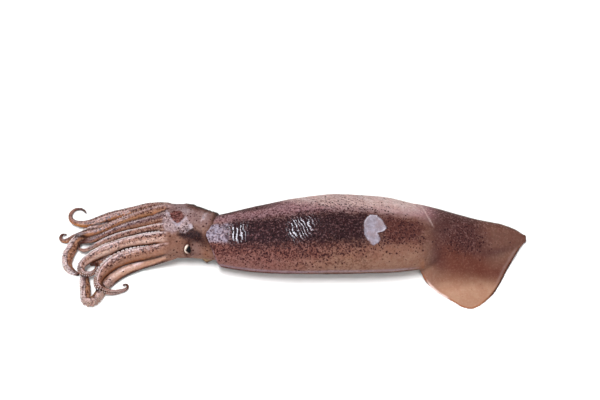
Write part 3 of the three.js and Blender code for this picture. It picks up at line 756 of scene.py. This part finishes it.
keep(mantle, tone, crease_phase=crease_phase, sparkle=sparkle, pebbles=1 - sparkle, grain=grain,
     dots=dots * fall(patch_depth, -0.6, 0.2),
     bare=rise(patch_depth, -0.35, 0.35),
     bare_edge=bump(patch_depth, -0.3, 0.6),
     # painted highlight along the torn patch's rim
     torn_rim=0.7 * bump(patch_depth, 0.4, 0.4) * rise(fine, -0.5, 0.5),
     gloss=0.012 + 0.98 * rise(sparkle, 0.1, 0.7),
     pale=0.42 * band_weight * (1 - 0.35 * rise(x, 5, 30)) + 0.25 * speckle + 0.35 * rise(turn, 20, 50)
     + 0.3 * nape + 0.08)

# ---- head piece: form

outer, bore = funnel()
head = object_of("head_arms_and_tentacles", *tube(np.linspace(CROWN_X, NECK_X, 140), 120, head_skin))
combine(head, [outer] + [arm.solid() for arm in arms], "UNION")
combine(head, [bore] + [lid_slit(angle) for angle in EYE_ANGLES.values()], "DIFFERENCE")
remesh(head, HEAD_VOXEL)
relax(head, 3)

spot = points_of(head)
x, y, z = spot.T
plan = spot[:, :2]
head_turn = np.degrees(np.arctan2(z - head_centre(x), head_middle(x) - y))

# The nearest arm to each point, its place along that arm, its angle from that arm's back, and its
# swing: degrees from straight up, positive to the far side. An arm's mood is (dusky, amber, brown).
ARM_MOODS = {"far_side": (0.2, 1.0, 0.2), "far_upper": (0.3, 0.7, 0.3), "far_top": (0.9, 0.2, 0.4),
             "near_top": (0.15, 0.1, 0.1), "near_upper": (0.0, 0.1, 0.0), "near_side": (0.0, 0.2, 0.9),
             "near_tentacle": (0.0, 0.5, 1.0)}
OTHER_MOOD = (0.0, 0.3, 0.1)
best, second = np.full((2, len(spot)), 1e9)
arm_along, arm_turn, arm_share, swing, dusky, amber, brown, on_club, is_tentacle = np.zeros((9, len(spot)))
arm_girth = np.ones(len(spot))
for arm in arms:
    places = np.arange(0, arm.length + 0.01, 0.8)
    line = arm.path(places)
    girth = arm.girth_at(places)
    _, side, up = arm.axes(places)
    near = np.where(np.all((spot > line.min(0) - NEAR_ARM) & (spot < line.max(0) + NEAR_ARM), axis=1))[0]
    for chunk in np.array_split(near, max(1, len(near) // 20000)):
        gap = np.linalg.norm(spot[chunk, None] - line[None], axis=2) - girth[None]
        pick = gap.argmin(1)
        value = gap[np.arange(len(chunk)), pick]
        won = value < best[chunk]
        second[chunk] = np.minimum(second[chunk], np.where(won, best[chunk], value))
        index, pick = chunk[won], pick[won]
        best[index] = value[won]
        arm_along[index] = places[pick]
        arm_girth[index] = girth[pick]
        arm_share[index] = places[pick] / arm.length
        is_tentacle[index] = arm.name.endswith("tentacle")
        on_club[index] = is_tentacle[index] * rise(arm_share[index], CLUB_FROM - 0.1, CLUB_FROM)
        out = spot[index] - line[pick]
        world_turn = np.arctan2((out * side[pick]).sum(1), (out * up[pick]).sum(1))
        swing[index] = np.degrees(world_turn)
        arm_turn[index] = (world_turn - arm.roll + np.pi) % (2 * np.pi) - np.pi
        dusky[index], amber[index], brown[index] = ARM_MOODS.get(arm.name, OTHER_MOOD)
on_arm = rise(-x, 94, 101) * (best < 3)
off_arm = 1 - on_arm
away = np.degrees(np.abs(arm_turn))
past_crown = rise(-x, 97, 106)
# Where two arms lie close, for the painted shade between them.
contact_shade = fall(second, 0.4, 2.0) * past_crown

# ---- head piece: relief of the lids, the fold round the neck, arm wrinkles and the torn crown

TORN_STRIP = [(-97.6, 16.6), (-96.4, 14.0), (-94.6, 9.9), (-92.2, 5.9), (-89.2, 3.6), (-86.4, 5.2),
              (-84.0, 7.6), (-82.9, 9.4), (-81.2, 6.0), (-79.0, 1.6)]
SKIN_ISLAND = [(-95.2, 14.6), (-92.1, 16.6), (-87.7, 15.9), (-84.2, 11.5), (-85.5, 6.9), (-89.3, 4.6),
               (-92.5, 7.0), (-94.4, 10.6)]
BARE_CROWN = [(-99.9, 12.7), (-96.4, 14.6), (-93.0, 7.0), (-89.2, 3.9), (-84.3, 7.7), (-82.2, 8.8),
              (-78.6, 1.1), (-82.5, -1.8), (-88.4, -0.6), (-92.6, -3.2), (-98.1, -0.5), (-100.0, 5.5)]
DARK_PATCH = [(-84.0, -1.2), (-79.5, -2.4), (-75.0, -4.4), (-68.5, -8.2)]
on_top = rise(z, 20, 24)
strip = line_distance(plan, TORN_STRIP) + 0.9 * fractal(spot, 3.4, 105)
strip = fall(strip, 0.4, 1.5) * on_top * rise(fractal(spot, 5, 104, 2), -1.2, -0.3)
crown = rise(outline_depth(plan, BARE_CROWN) + 0.9 * fractal(spot, 4.0, 106), -1.6, 1.2) * on_top
island = rise(outline_depth(plan, SKIN_ISLAND) + 0.8 * fractal(spot, 3.0, 107, 2), -1.2, 0.8) * on_top
lid = np.full(len(spot), 50.0)
for angle in EYE_ANGLES.values():
    seat, out, along, up = eye_axes(angle)
    local = spot - seat - SLIT_SHIFT * along
    reach = np.hypot((local @ along) / (SLIT_WIDE / 2), (local @ up) / (SLIT_TALL / 2))
    lid = np.where(np.abs(local @ out) < 6, np.minimum(lid, (reach - 1) * 3.0), lid)
skin_turn = from_back(np.arctan2((z - MOUTH_TALL) / MOUTH_TALL, (mantle_middle(0) - y) / MOUTH_HALF))
rim_gap = MOUTH_X - rim_forward(skin_turn) - x
neck_fold = bump(rim_gap, 5, 5) * rise(z, 8, 16)
collar = (rise(x, -93, -76) * rise(rim_gap, 0.4, 2.6) * rise(head_turn, 72, 125) * fall(z, 29, 33)
          * rise(z, 6, 14))

on_stalk = is_tentacle * (1 - on_club)
wander = fractal(spot, 3.5, 117, 2)
lumps = wave(arm_along + 0.35 * wander, 2.0)
full_arm = (1 - is_tentacle) * rise(arm_girth, 1.0, 2.0)
sucker_side = rise(away, 128, 142)
far_edge = rise(swing, 2, 12) * fall(swing, 38, 46) * full_arm
lump_edge = far_edge * (1 - sucker_side)
relief = (2.1 * collar + 0.22 * fractal(spot, 14, 103, 2) * off_arm + 0.07 * fractal(spot, 3.2, 109, 2)
          + 0.35 * bump(lid, 0.9, 1.0) - 0.15 * bump(lid, 3.2, 1.4)
          + 0.14 * neck_fold * wave(x + fractal(spot, 5, 113, 2), 3.1) + 0.3 * strip - 0.12 * crown
          + on_arm * np.minimum(1, arm_girth / 3) * (
              0.05 * wave(arm_along + wander, 2.4) + 0.16 * fractal(spot, 7, 119, 2)
              + 0.28 * lump_edge * lumps
              + full_arm * (0.3 * bump(swing, -2, 7) - 0.2 * bump(swing, -18, 9))
              + 0.2 * on_club * fractal(spot, 2.0, 121, 2)))
raise_skin(head, spot, relief * rise(z, 0, 1.0))

# ---- head piece: colours, with painted shade and highlights

ARM_LILAC, ARM_DUSKY, ARM_PINK, ARM_BROWN = (160, 122, 108), (104, 80, 86), (200, 171, 159), (116, 80, 68)
ARM_AMBER, ARM_DARK, ARM_CREAM, ARM_TIP = (176, 114, 60), (38, 18, 12), (192, 168, 164), (72, 36, 26)
# HIGHLIGHT_LILAC is a painted highlight: on the arms' ridges, on the near tentacle and on the head.
HIGHLIGHT_LILAC, LUMP_PALE, LUMP_GAP, CLUB_BROWN = (220, 200, 200), (200, 174, 164), (92, 54, 48), (160, 114, 88)
HEAD_TAN, HEAD_MAUVE, HEAD_DARK, HEAD_GREY = (130, 97, 84), (132, 105, 102), (30, 14, 17), (120, 94, 88)
CROWN_LILAC, STRIP_WHITE, ISLAND_RUSSET = (166, 150, 154), (198, 184, 192), (118, 74, 70)
NAPE_BROWN, FUNNEL_TAN = (96, 62, 50), (148, 126, 98)

cloud = fractal(spot, 11, 131)
fine = fractal(spot, 4, 137)
near_side = rise(-y, 2, 9)
flank = rise(-swing + 6 * fine, 34, 48)
browner = on_club * brown * fall(arm_share + 0.03 * fine, BROWN_TO - 0.05, BROWN_TO + 0.05)
arm_tone = painted(
    ARM_LILAC,
    (ARM_DUSKY, dusky * (1 - 0.6 * flank) + 0.25 * rise(cloud, 0.1, 0.8)),
    (ARM_PINK, np.maximum(flank * (1 - 0.5 * dusky), 0.85 * on_stalk)),
    (ARM_BROWN, 0.95 * brown * rise(-swing + 8 * fine, 20, 50) * (1 - on_stalk)),
    (ARM_AMBER, amber * bump(swing + 8 * fine, -66, 34)),
    (ARM_ORANGE, 0.7 * rise(-swing + 8 * fine, 72, 92)),
    # a paler ridge along each arm's back, partly its own colour and partly a painted highlight
    (HIGHLIGHT_LILAC, full_arm * bump(swing + 3 * cloud, -3, 8) * (0.9 + 0.6 * fine)
     * (1 - 0.5 * dusky) * (1 - 0.8 * amber)),
    (LUMP_GAP, lump_edge * (0.5 - 0.6 * lumps + 0.4 * fine)),
    (LUMP_PALE, lump_edge * (0.2 + 0.9 * lumps) * (1 - 0.4 * dusky)),
    (LUMP_GAP, sucker_side * (1 - is_tentacle) * (0.55 + 0.5 * fine)),
    # painted highlight on the near tentacle's stalk
    (HIGHLIGHT_LILAC, 0.8 * on_stalk * bump(x, -118, 3.2) * bump(swing + 5 * fine, -26, 13)),
    (CLUB_BROWN, on_club * fall(away + 12 * fine, 80, 100) + 0.45 * browner),
    (ARM_CREAM, on_club * rise(away + 12 * fine, 86, 108) * (1 - 0.4 * browner)),
    (ARM_DARK, 0.6 * on_club * bump(away + 10 * fine, 90, 8)),
    # Painted shade: darker under each arm, along its upper contour and at the table, and warmer, then dark,
    # where another arm lies close or touches.
    (ARM_DARK, 0.9 * rise(-swing + 8 * fine, 90, 106) * (1 - on_club)),
    (ARM_DARK, 0.8 * bump(swing + 3 * fine, 48, 14) * full_arm),
    (ARM_DARK, 0.75 * fall(z, 0.8, 2.6) * (1 - on_club)),
    (ARM_ORANGE, 0.4 * rise(3.6 - second, 0, 1.8) * (1 - on_club) * past_crown),
    (ARM_DARK, 0.95 * contact_shade),
    (ARM_TIP, 0.85 * rise(arm_share + 0.04 * fine, 0.86, 1.0) + 0.5 * rise(1.6 - arm_girth, 0, 0.8)),
)
dark_patch = (fall(line_distance(plan, DARK_PATCH) + 1.4 * fine, 1.2, 6.0)
              * rise(z, 19, 25) * (1 - 0.55 * rise(x, -75, -67)))
far_shade = fall(head_turn, 152, 174)  # keeps the dark far contour off the far side
# A small spot on top of the head that gets a painted highlight, and gloss as well.
glint_spot = bump(x - 0.35 * (y - 10.3), -70, 1.2) * bump(y, 10.3, 3.0)
tone = painted(
    HEAD_TAN,
    (HEAD_MAUVE, rise(y + 3 * cloud, -4, 6)),
    (HEAD_GREY, bump(x, -76, 7) * near_side * rise(z, 10, 18)),
    (CROWN_LILAC, 0.6 * bump(x, -84, 9) * bump(y, 18, 7)),
    (NAPE_BROWN, 0.8 * (bump(x, -81.5, 4.5) * bump(y, -7.5, 3.5) * on_top)),
    (HEAD_DARK, 1.15 * dark_patch),
    # the nape's own brown, deepened towards the mantle's rim as painted shade under it
    (NAPE_BROWN, (0.75 - 0.4 * near_side) * fall(rim_gap + 0.8 * fine, 0.6, 4.4)),
    (FUNNEL_TAN, 0.9 * bump(x, -69, 6) * rise(-y, 6, 11) * rise(13 - z, 0, 5)),
    (ARM_ORANGE, 0.35 * bump(x, -68.5, 4) * bump(z, 17, 4.5) * near_side),
    # painted shade: a dark line in the gap at the mantle's rim, and darker low on the head towards the table
    (SHADE_DARK, 0.8 * fall(rim_gap, -0.2, 1.6) + 0.9 * fall(z, 4.4, 7.2) * off_arm),
    # painted shade at the rim of each lid slit
    (SHADE_DARK, 0.6 * bump(lid, 0.2, 0.6)),
    # painted shade: a brown band and a dark line along the head's far upper contour, and a darker line at the
    # table
    (NAPE_BROWN, 0.85 * far_shade * rise(head_turn + 4 * fine, 117, 132) * rise(x, -88, -80)),
    (SHADE_DARK, 0.85 * fall(z, 2.2, 4.4) * off_arm
     + 0.9 * far_shade * rise(head_turn + 3 * fine, 130, 142) * rise(x, -86, -78)),
    (arm_tone, on_arm),
    (CROWN_LILAC, 0.9 * crown),
    (ISLAND_RUSSET, island),
    # the crown's torn white strip: its own pale colour, brightened with a painted highlight
    (STRIP_WHITE, strip),
    # painted highlight on the head's top
    (HIGHLIGHT_LILAC, 0.5 * glint_spot),
)
dotted = rise(swing + 10 * fine, -68, -30) * fall(swing + 5 * fine, -14, 2) * full_arm
head_dots = rise(z, 4, 12) * (0.46 + 0.25 * bump(x, -88, 8) * rise(y, 6, 14) + dark_patch
                              + 0.35 * bump(x, -84, 5) * bump(y, 1, 4))
arm_dots = 0.14 + dotted * (1.1 + 0.6 * fine) + 0.5 * on_club + 0.3 * dusky + 0.5 * far_edge
dots = head_dots * off_arm + arm_dots * on_arm + 0.1 * crown + 0.9 * island
grain = (0.4 + (0.5 * dotted - 0.12) * on_arm - 0.15 * off_arm * near_side + 0.5 * island + 0.3 * crown
         + 0.6 * on_club)
keep(head, tone, crease_phase=0.25, sparkle=0.1 * on_arm, grain=grain, bare_edge=0.0, torn_rim=0.0,
     dots=dots * (1 - strip),
     bare=0.75 * strip,
     pebbles=1 - 0.75 * on_arm * (1 - crown) * (1 - on_club),
     gloss=0.015 + 0.26 * on_arm * (1 - crown) + 0.9 * glint_spot * rise(fine, -0.6, 0.1),
     pale=0.3 * grain * on_arm + 0.3 * crown + 0.2 * island)

cup_points, cup_faces, cup_hollow, cup_browned = suckers()
cups = object_of("sucker_cups", cup_points, cup_faces)
keep(cups, hollow=cup_hollow, browned=cup_browned)

# ---- eyeballs


def eyeball(name, angle):
    seat, out, along, up = eye_axes(angle)
    centre = seat - EYE_SINK * out

    def ball_point(station, turn):
        polar = np.pi * np.clip(station, 0.004, 0.996)
        cornea = 1 + 0.03 * bump(polar, 0, 0.45)
        return centre + EYE_RADIUS * cornea[..., None] * (
            np.cos(polar)[..., None] * out
            + (np.sin(polar) * np.cos(turn))[..., None] * along
            + (np.sin(polar) * np.sin(turn))[..., None] * up)

    ball = object_of(name, *tube(np.linspace(0, 1, 72), 96, ball_point))
    local = points_of(ball) - centre
    wedge = local @ along - SLIT_SHIFT - PUPIL_FROM - PUPIL_SPREAD * np.sqrt((local @ up) ** 2 + 0.1)
    front = rise(local @ out, 0, 2)
    keep(ball, pupil=front * rise(wedge, -0.15, 0.15), rim=front * bump(wedge, -0.25, 0.25))
    return ball


near_eye = eyeball("near_eyeball", EYE_ANGLES["near"])
far_eye = eyeball("far_eyeball", EYE_ANGLES["far"])

# ---- materials


class Nodes:
    """A small helper that adds and links the nodes of one material or world."""

    def __init__(self, owner, place="Object"):
        owner.use_nodes = True
        self.owner, self.tree = owner, owner.node_tree
        self.place = self.add("TexCoord").outputs[place]

    def add(self, kind, feeds=(), **settings):
        """Adds a node with its settings, and feeds its sockets values, colours or other sockets."""
        node = self.tree.nodes.new("ShaderNode" + kind)
        for key, value in settings.items():
            setattr(node, key, value)
        self.feed(node, feeds)
        return node

    def feed(self, node, feeds):
        for key, value in dict(feeds).items():
            if isinstance(value, bpy.types.NodeSocket):
                self.tree.links.new(value, node.inputs[key])
            else:
                node.inputs[key].default_value = value

    def math(self, operation, a, b=0.0):
        return self.add("Math", {0: a, 1: b}, operation=operation).outputs[0]

    def vector_math(self, operation, feeds):
        return self.add("VectorMath", feeds, operation=operation).outputs[0]

    def times(self, a, b):
        return self.math("MULTIPLY", a, b)

    def minus(self, a, b):
        return self.math("SUBTRACT", a, b)

    def range(self, value, low, high, start=0.0, end=1.0, kind="SMOOTHSTEP"):
        return self.add("MapRange", {"Value": value, "From Min": low, "From Max": high, "To Min": start,
                                     "To Max": end}, interpolation_type=kind).outputs["Result"]

    def mix(self, weight, a, b, kind="MIX"):
        a, b = [(*colour, 1.0) if isinstance(colour, tuple) else colour for colour in (a, b)]
        return self.add("Mix", {0: weight, 6: a, 7: b}, data_type="RGBA", blend_type=kind).outputs[2]

    def value(self, name, output="Fac"):
        return self.add("Attribute", attribute_name=name).outputs[output]

    def noise(self, size, detail=3.0, rough=0.55):
        """Noise with lumps of so many millimetres."""
        return self.add("TexNoise", {"Vector": self.place, "Scale": 1 / (size * MM), "Detail": detail,
                                     "Roughness": rough}).outputs["Fac"]

    def cells(self, size, where):
        return self.add("TexVoronoi", {"Vector": where, "Scale": 1 / (size * MM)})

    def wander(self, reach, size):
        """The place, pushed about by noise, so that cells aren't round."""
        noise = self.add("TexNoise", {"Vector": self.place, "Scale": 1 / (size * MM), "Detail": 2})
        centred = self.vector_math("SUBTRACT", {0: noise.outputs["Color"], 1: (0.5, 0.5, 0.5)})
        push = self.vector_math("SCALE", {0: centred, "Scale": reach * MM})
        return self.vector_math("ADD", {0: self.place, 1: push})

    def dots(self, size, density, most, where):
        """Pigment dots, one to a cell at most; more of them where the density is higher."""
        cell = self.cells(size, where)
        pick = self.add("SeparateColor", {0: cell.outputs["Color"]}).outputs
        shown = self.range(self.minus(density, pick[0]), 0.0, 0.08)
        radius = self.range(pick[1], 0.0, 1.0, 0.6 * most, most, "LINEAR")
        dot = self.range(cell.outputs["Distance"], self.times(radius, 0.65), radius, 1.0, 0.0)
        return self.times(dot, shown)

    def bump(self, height, strength, distance, below=None):
        feeds = {"Strength": strength, "Distance": distance * MM, "Height": height}
        return self.add("Bump", feeds | ({"Normal": below} if below else {})).outputs["Normal"]

    def finish(self, **feeds):
        shader = self.tree.nodes["Principled BSDF"]
        self.feed(shader, {key.replace("_", " "): value for key, value in feeds.items()})
        return self.owner


def skin_material(name, dark_dot, brown_dot, bare, glossy):
    """Wet squid skin over pale muscle, with expanded and shut pigment cells."""
    n = Nodes(bpy.data.materials.new(name))
    density, sparkle, grain, pebbles = map(n.value, ("dots", "sparkle", "grain", "pebbles"))
    where = n.wander(0.9, 1.8)
    skin = n.value("skin", "Color")
    lighter = n.add("Gamma", {"Color": skin, "Gamma": 0.42}).outputs[0]
    base = n.mix(n.range(n.noise(7, 4), 0.36, 0.64, 0, 0.6), skin, (0.84, 0.70, 0.67), "MULTIPLY")
    shade = n.times(n.range(n.noise(1.9, 3, 0.68), 0.45, 0.60), grain)
    base = n.mix(shade, base, (0.20, 0.12, 0.14), "MULTIPLY")
    flecks = n.times(n.range(n.noise(1.4, 2, 0.6), 0.53, 0.61), n.value("pale"))
    base = n.mix(flecks, base, n.mix(1.0, lighter, (1.0, 0.78, 0.76), "MULTIPLY"))
    small = n.dots(1.0, n.math("ADD", n.times(density, 0.75), 0.08), 0.42, where)
    base = n.mix(n.times(small, 0.55), base, brown_dot)
    # Larger and denser dots: (cell size, density, radius at most, strength).
    for size, amount, most, strength in ((2.4, n.minus(density, 0.06), 0.42, 0.92),
                                         (1.7, n.minus(n.times(density, 0.8), 0.06), 0.44, 0.8),
                                         (1.35, n.minus(density, 0.45), 0.48, 0.88)):
        base = n.mix(n.times(n.dots(size, amount, most, where), strength), base, dark_dot)
    # Where the skin is torn off, pale flesh shows, with a dark line round it and a painted highlight along
    # its torn rim.
    flesh = n.mix(n.range(n.noise(3.5, 4), 0.35, 0.7), bare, (0.30, 0.27, 0.325))
    flesh = n.mix(n.range(n.noise(5.0, 3), 0.45, 0.62, 0, 0.6), flesh, (0.24, 0.17, 0.185))
    flesh = n.mix(n.value("torn_rim"), flesh, (0.62, 0.60, 0.68))
    flesh = n.mix(n.range(n.noise(0.7, 2), 0.55, 0.7, 0, 0.4), flesh, (0.46, 0.43, 0.50))
    base = n.mix(n.value("bare"), base, flesh)
    torn_line = n.times(n.value("bare_edge"), n.range(n.noise(1.6, 3), 0.45, 0.62))
    base = n.mix(torn_line, base, (0.06, 0.022, 0.02))
    height = n.math("ADD", n.times(n.noise(0.8, 3), 0.5), n.times(n.noise(3.0, 2), 0.8))
    coarse = n.bump(n.times(height, pebbles), 0.3, 0.3)
    pebble = n.times(n.cells(0.95, where).outputs["Distance"], n.math("ADD", grain, 0.25))
    coarse = n.bump(n.times(pebble, pebbles), 0.6, 0.3, coarse)
    # Creases: their crests shine in broken dashes, and their valleys are darkened as painted shade.
    breaks = n.times(n.minus(n.noise(1.6, 1.5), 0.5), 4.0)
    crest = n.math("ADD", n.math("SINE", n.times(n.value("crease_phase"), 2 * math.pi)), breaks)
    shine = n.range(crest, 0.2, 0.7)
    base = n.mix(n.times(n.range(crest, -0.5, 0.3, 0.85, 0.0), sparkle), base, (0.010, 0.004, 0.006))
    normal = n.bump(n.times(crest, sparkle), 1.0, 0.05, coarse)
    return n.finish(
        Base_Color=base, Roughness=n.range(n.noise(6, 4), 0.3, 0.7, glossy, glossy + 0.14), Normal=normal,
        Subsurface_Weight=0.1, Subsurface_Scale=0.0015, Subsurface_Radius=(1.0, 0.45, 0.3),
        Coat_Weight=n.times(n.value("gloss"), shine), Coat_Roughness=0.13, Coat_Tint=(0.92, 0.94, 1.0, 1.0),
        Coat_Normal=normal, Specular_IOR_Level=0.02)


def sucker_material():
    n = Nodes(bpy.data.materials.new("sucker_flesh"))
    base = n.mix(n.range(n.noise(1.1, 3), 0.35, 0.7), (0.56, 0.45, 0.44), (0.76, 0.68, 0.70))
    base = n.mix(n.range(n.noise(7, 3), 0.42, 0.68, 0, 0.7), base, (0.33, 0.17, 0.09))
    base = n.mix(n.times(n.value("browned"), 0.7), base, (0.30, 0.16, 0.10))
    # painted shade: each cup's hollow darkened
    base = n.mix(n.times(n.value("hollow"), 0.85), base, (0.07, 0.03, 0.025))
    return n.finish(
        Base_Color=base, Roughness=n.range(n.noise(2, 2), 0.3, 0.7, 0.25, 0.42), Subsurface_Weight=0.15,
        Subsurface_Scale=0.0012, Subsurface_Radius=(1.0, 0.5, 0.35), Coat_Weight=0.3, Coat_Roughness=0.1,
        Normal=n.bump(n.noise(0.4, 2), 0.2, 0.1))


def eye_material():
    n = Nodes(bpy.data.materials.new("eye_wet"))
    pupil = n.value("pupil")
    cream = n.mix(n.range(n.noise(1.6, 4), 0.35, 0.7), (0.66, 0.52, 0.44), (0.84, 0.73, 0.66))
    cream = n.mix(n.range(n.noise(0.6, 3), 0.6, 0.75, 0, 0.35), cream, (0.45, 0.28, 0.17))
    cream = n.mix(n.value("rim"), cream, (0.10, 0.06, 0.04))
    return n.finish(
        Base_Color=n.mix(pupil, cream, (0.006, 0.005, 0.006)),
        Roughness=n.range(n.noise(2, 2), 0.3, 0.7, 0.12, 0.2), Coat_Weight=n.minus(0.3, n.times(pupil, 0.27)),
        Coat_Roughness=0.04, Specular_IOR_Level=0.03, Subsurface_Weight=0.08, Subsurface_Scale=0.0012,
        Normal=n.bump(n.noise(1.2, 2), 0.08, 0.1))


def floor_material():
    n = Nodes(bpy.data.materials.new("pale_floor"))
    return n.finish(Base_Color=n.mix(n.noise(60, 3), (0.92, 0.92, 0.92), (0.94, 0.94, 0.94)), Roughness=0.6,
                    Specular_IOR_Level=0.2)


mantle_material = skin_material("mantle_wet_skin", (0.022, 0.007, 0.009), (0.085, 0.026, 0.024),
                                (0.195, 0.165, 0.20), 0.48)
head_material = skin_material("head_wet_skin", (0.034, 0.011, 0.010), (0.13, 0.052, 0.033),
                              (0.36, 0.30, 0.32), 0.44)
wet_eye = eye_material()

# ---- bodies, floor, camera, light

for piece, node, slot, material in ((mantle, "mantle", "mantle_skin", mantle_material),
                                    (head, "head_and_arms", "head_skin", head_material),
                                    (cups, None, "head_skin", sucker_material()),
                                    (near_eye, "near_eye", "eye_ball", wet_eye),
                                    (far_eye, "far_eye", "eye_ball", wet_eye)):
    piece.data.materials.append(material)
    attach(piece, "root")
    if node:
        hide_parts(node)

FLOOR_HALF = 2.5
corners = [(x * FLOOR_HALF, y * FLOOR_HALF, 0) for x, y in ((-1, -1), (1, -1), (1, 1), (-1, 1))]
floor = linked("floor", bpy.data.meshes.new("floor"))
floor.data.from_pydata(corners, [], [(0, 1, 2, 3)])
floor.data.materials.append(floor_material())

CAMERA_HEIGHT = math.radians(52)
CAMERA_AWAY = 1.08
target = Vector((0, 0.05, 0)) + Vector(SHIFT * MM)
camera = linked("camera", bpy.data.cameras.new("camera"))
camera.data.lens = 85
camera.data.sensor_width = 36
camera.data.clip_start = 0.05
camera.location = target + CAMERA_AWAY * Vector((0, -math.cos(CAMERA_HEIGHT), math.sin(CAMERA_HEIGHT)))
camera.rotation_euler = (math.pi / 2 - CAMERA_HEIGHT, 0, 0)
bpy.context.scene.camera = camera


def soft_box(name, place, aim, size, power, colour=(1, 1, 1), glints=False):
    """A lamp that lights the skin, or one that only its wet glints see; in metres, degrees and watts."""
    light = bpy.data.lights.new(name, "AREA")
    light.shape = "RECTANGLE"
    light.size, light.size_y = size
    light.energy = power
    light.color = colour
    lamp = linked(name, light)
    lamp.location = place
    lamp.visible_glossy = glints
    lamp.visible_diffuse = not glints
    lamp.rotation_euler = [math.radians(angle) for angle in aim]


soft_box("key_overhead", (-0.3, -0.4, 2.0), (11, -8, 0), (0.3, 1.0), 38)
soft_box("overhead", (0.1, -0.2, 2.1), (6, 0, 0), (1.8, 1.8), 15)
soft_box("front_fill", (0.3, -1.7, 1.3), (53, 0, 0), (1.6, 1.6), 19)
soft_box("back_glint", (-0.55, 0.2, 2.0), (0, -15, 0), (0.9, 2.2), 150, (0.88, 0.89, 1.0), glints=True)
soft_box("arm_glint", (-1.25, 0.0, 1.85), (0, -31, 0), (0.3, 0.8), 22, (0.9, 0.94, 1.0), glints=True)

# A pale sky that is brightest at the horizon.
world = bpy.data.worlds.new("studio")
bpy.context.scene.world = world
sky = Nodes(world, "Generated")
upward = sky.add("SeparateXYZ", {0: sky.place}).outputs["Z"]
sky.feed(world.node_tree.nodes["Background"],
         {"Strength": sky.range(upward, 0.0, 0.75, 0.5, 0.1, "LINEAR"), "Color": (1, 1, 1, 1)})
bpy.context.scene.view_settings.view_transform = "Standard"
bpy.context.scene.view_settings.look = "None"
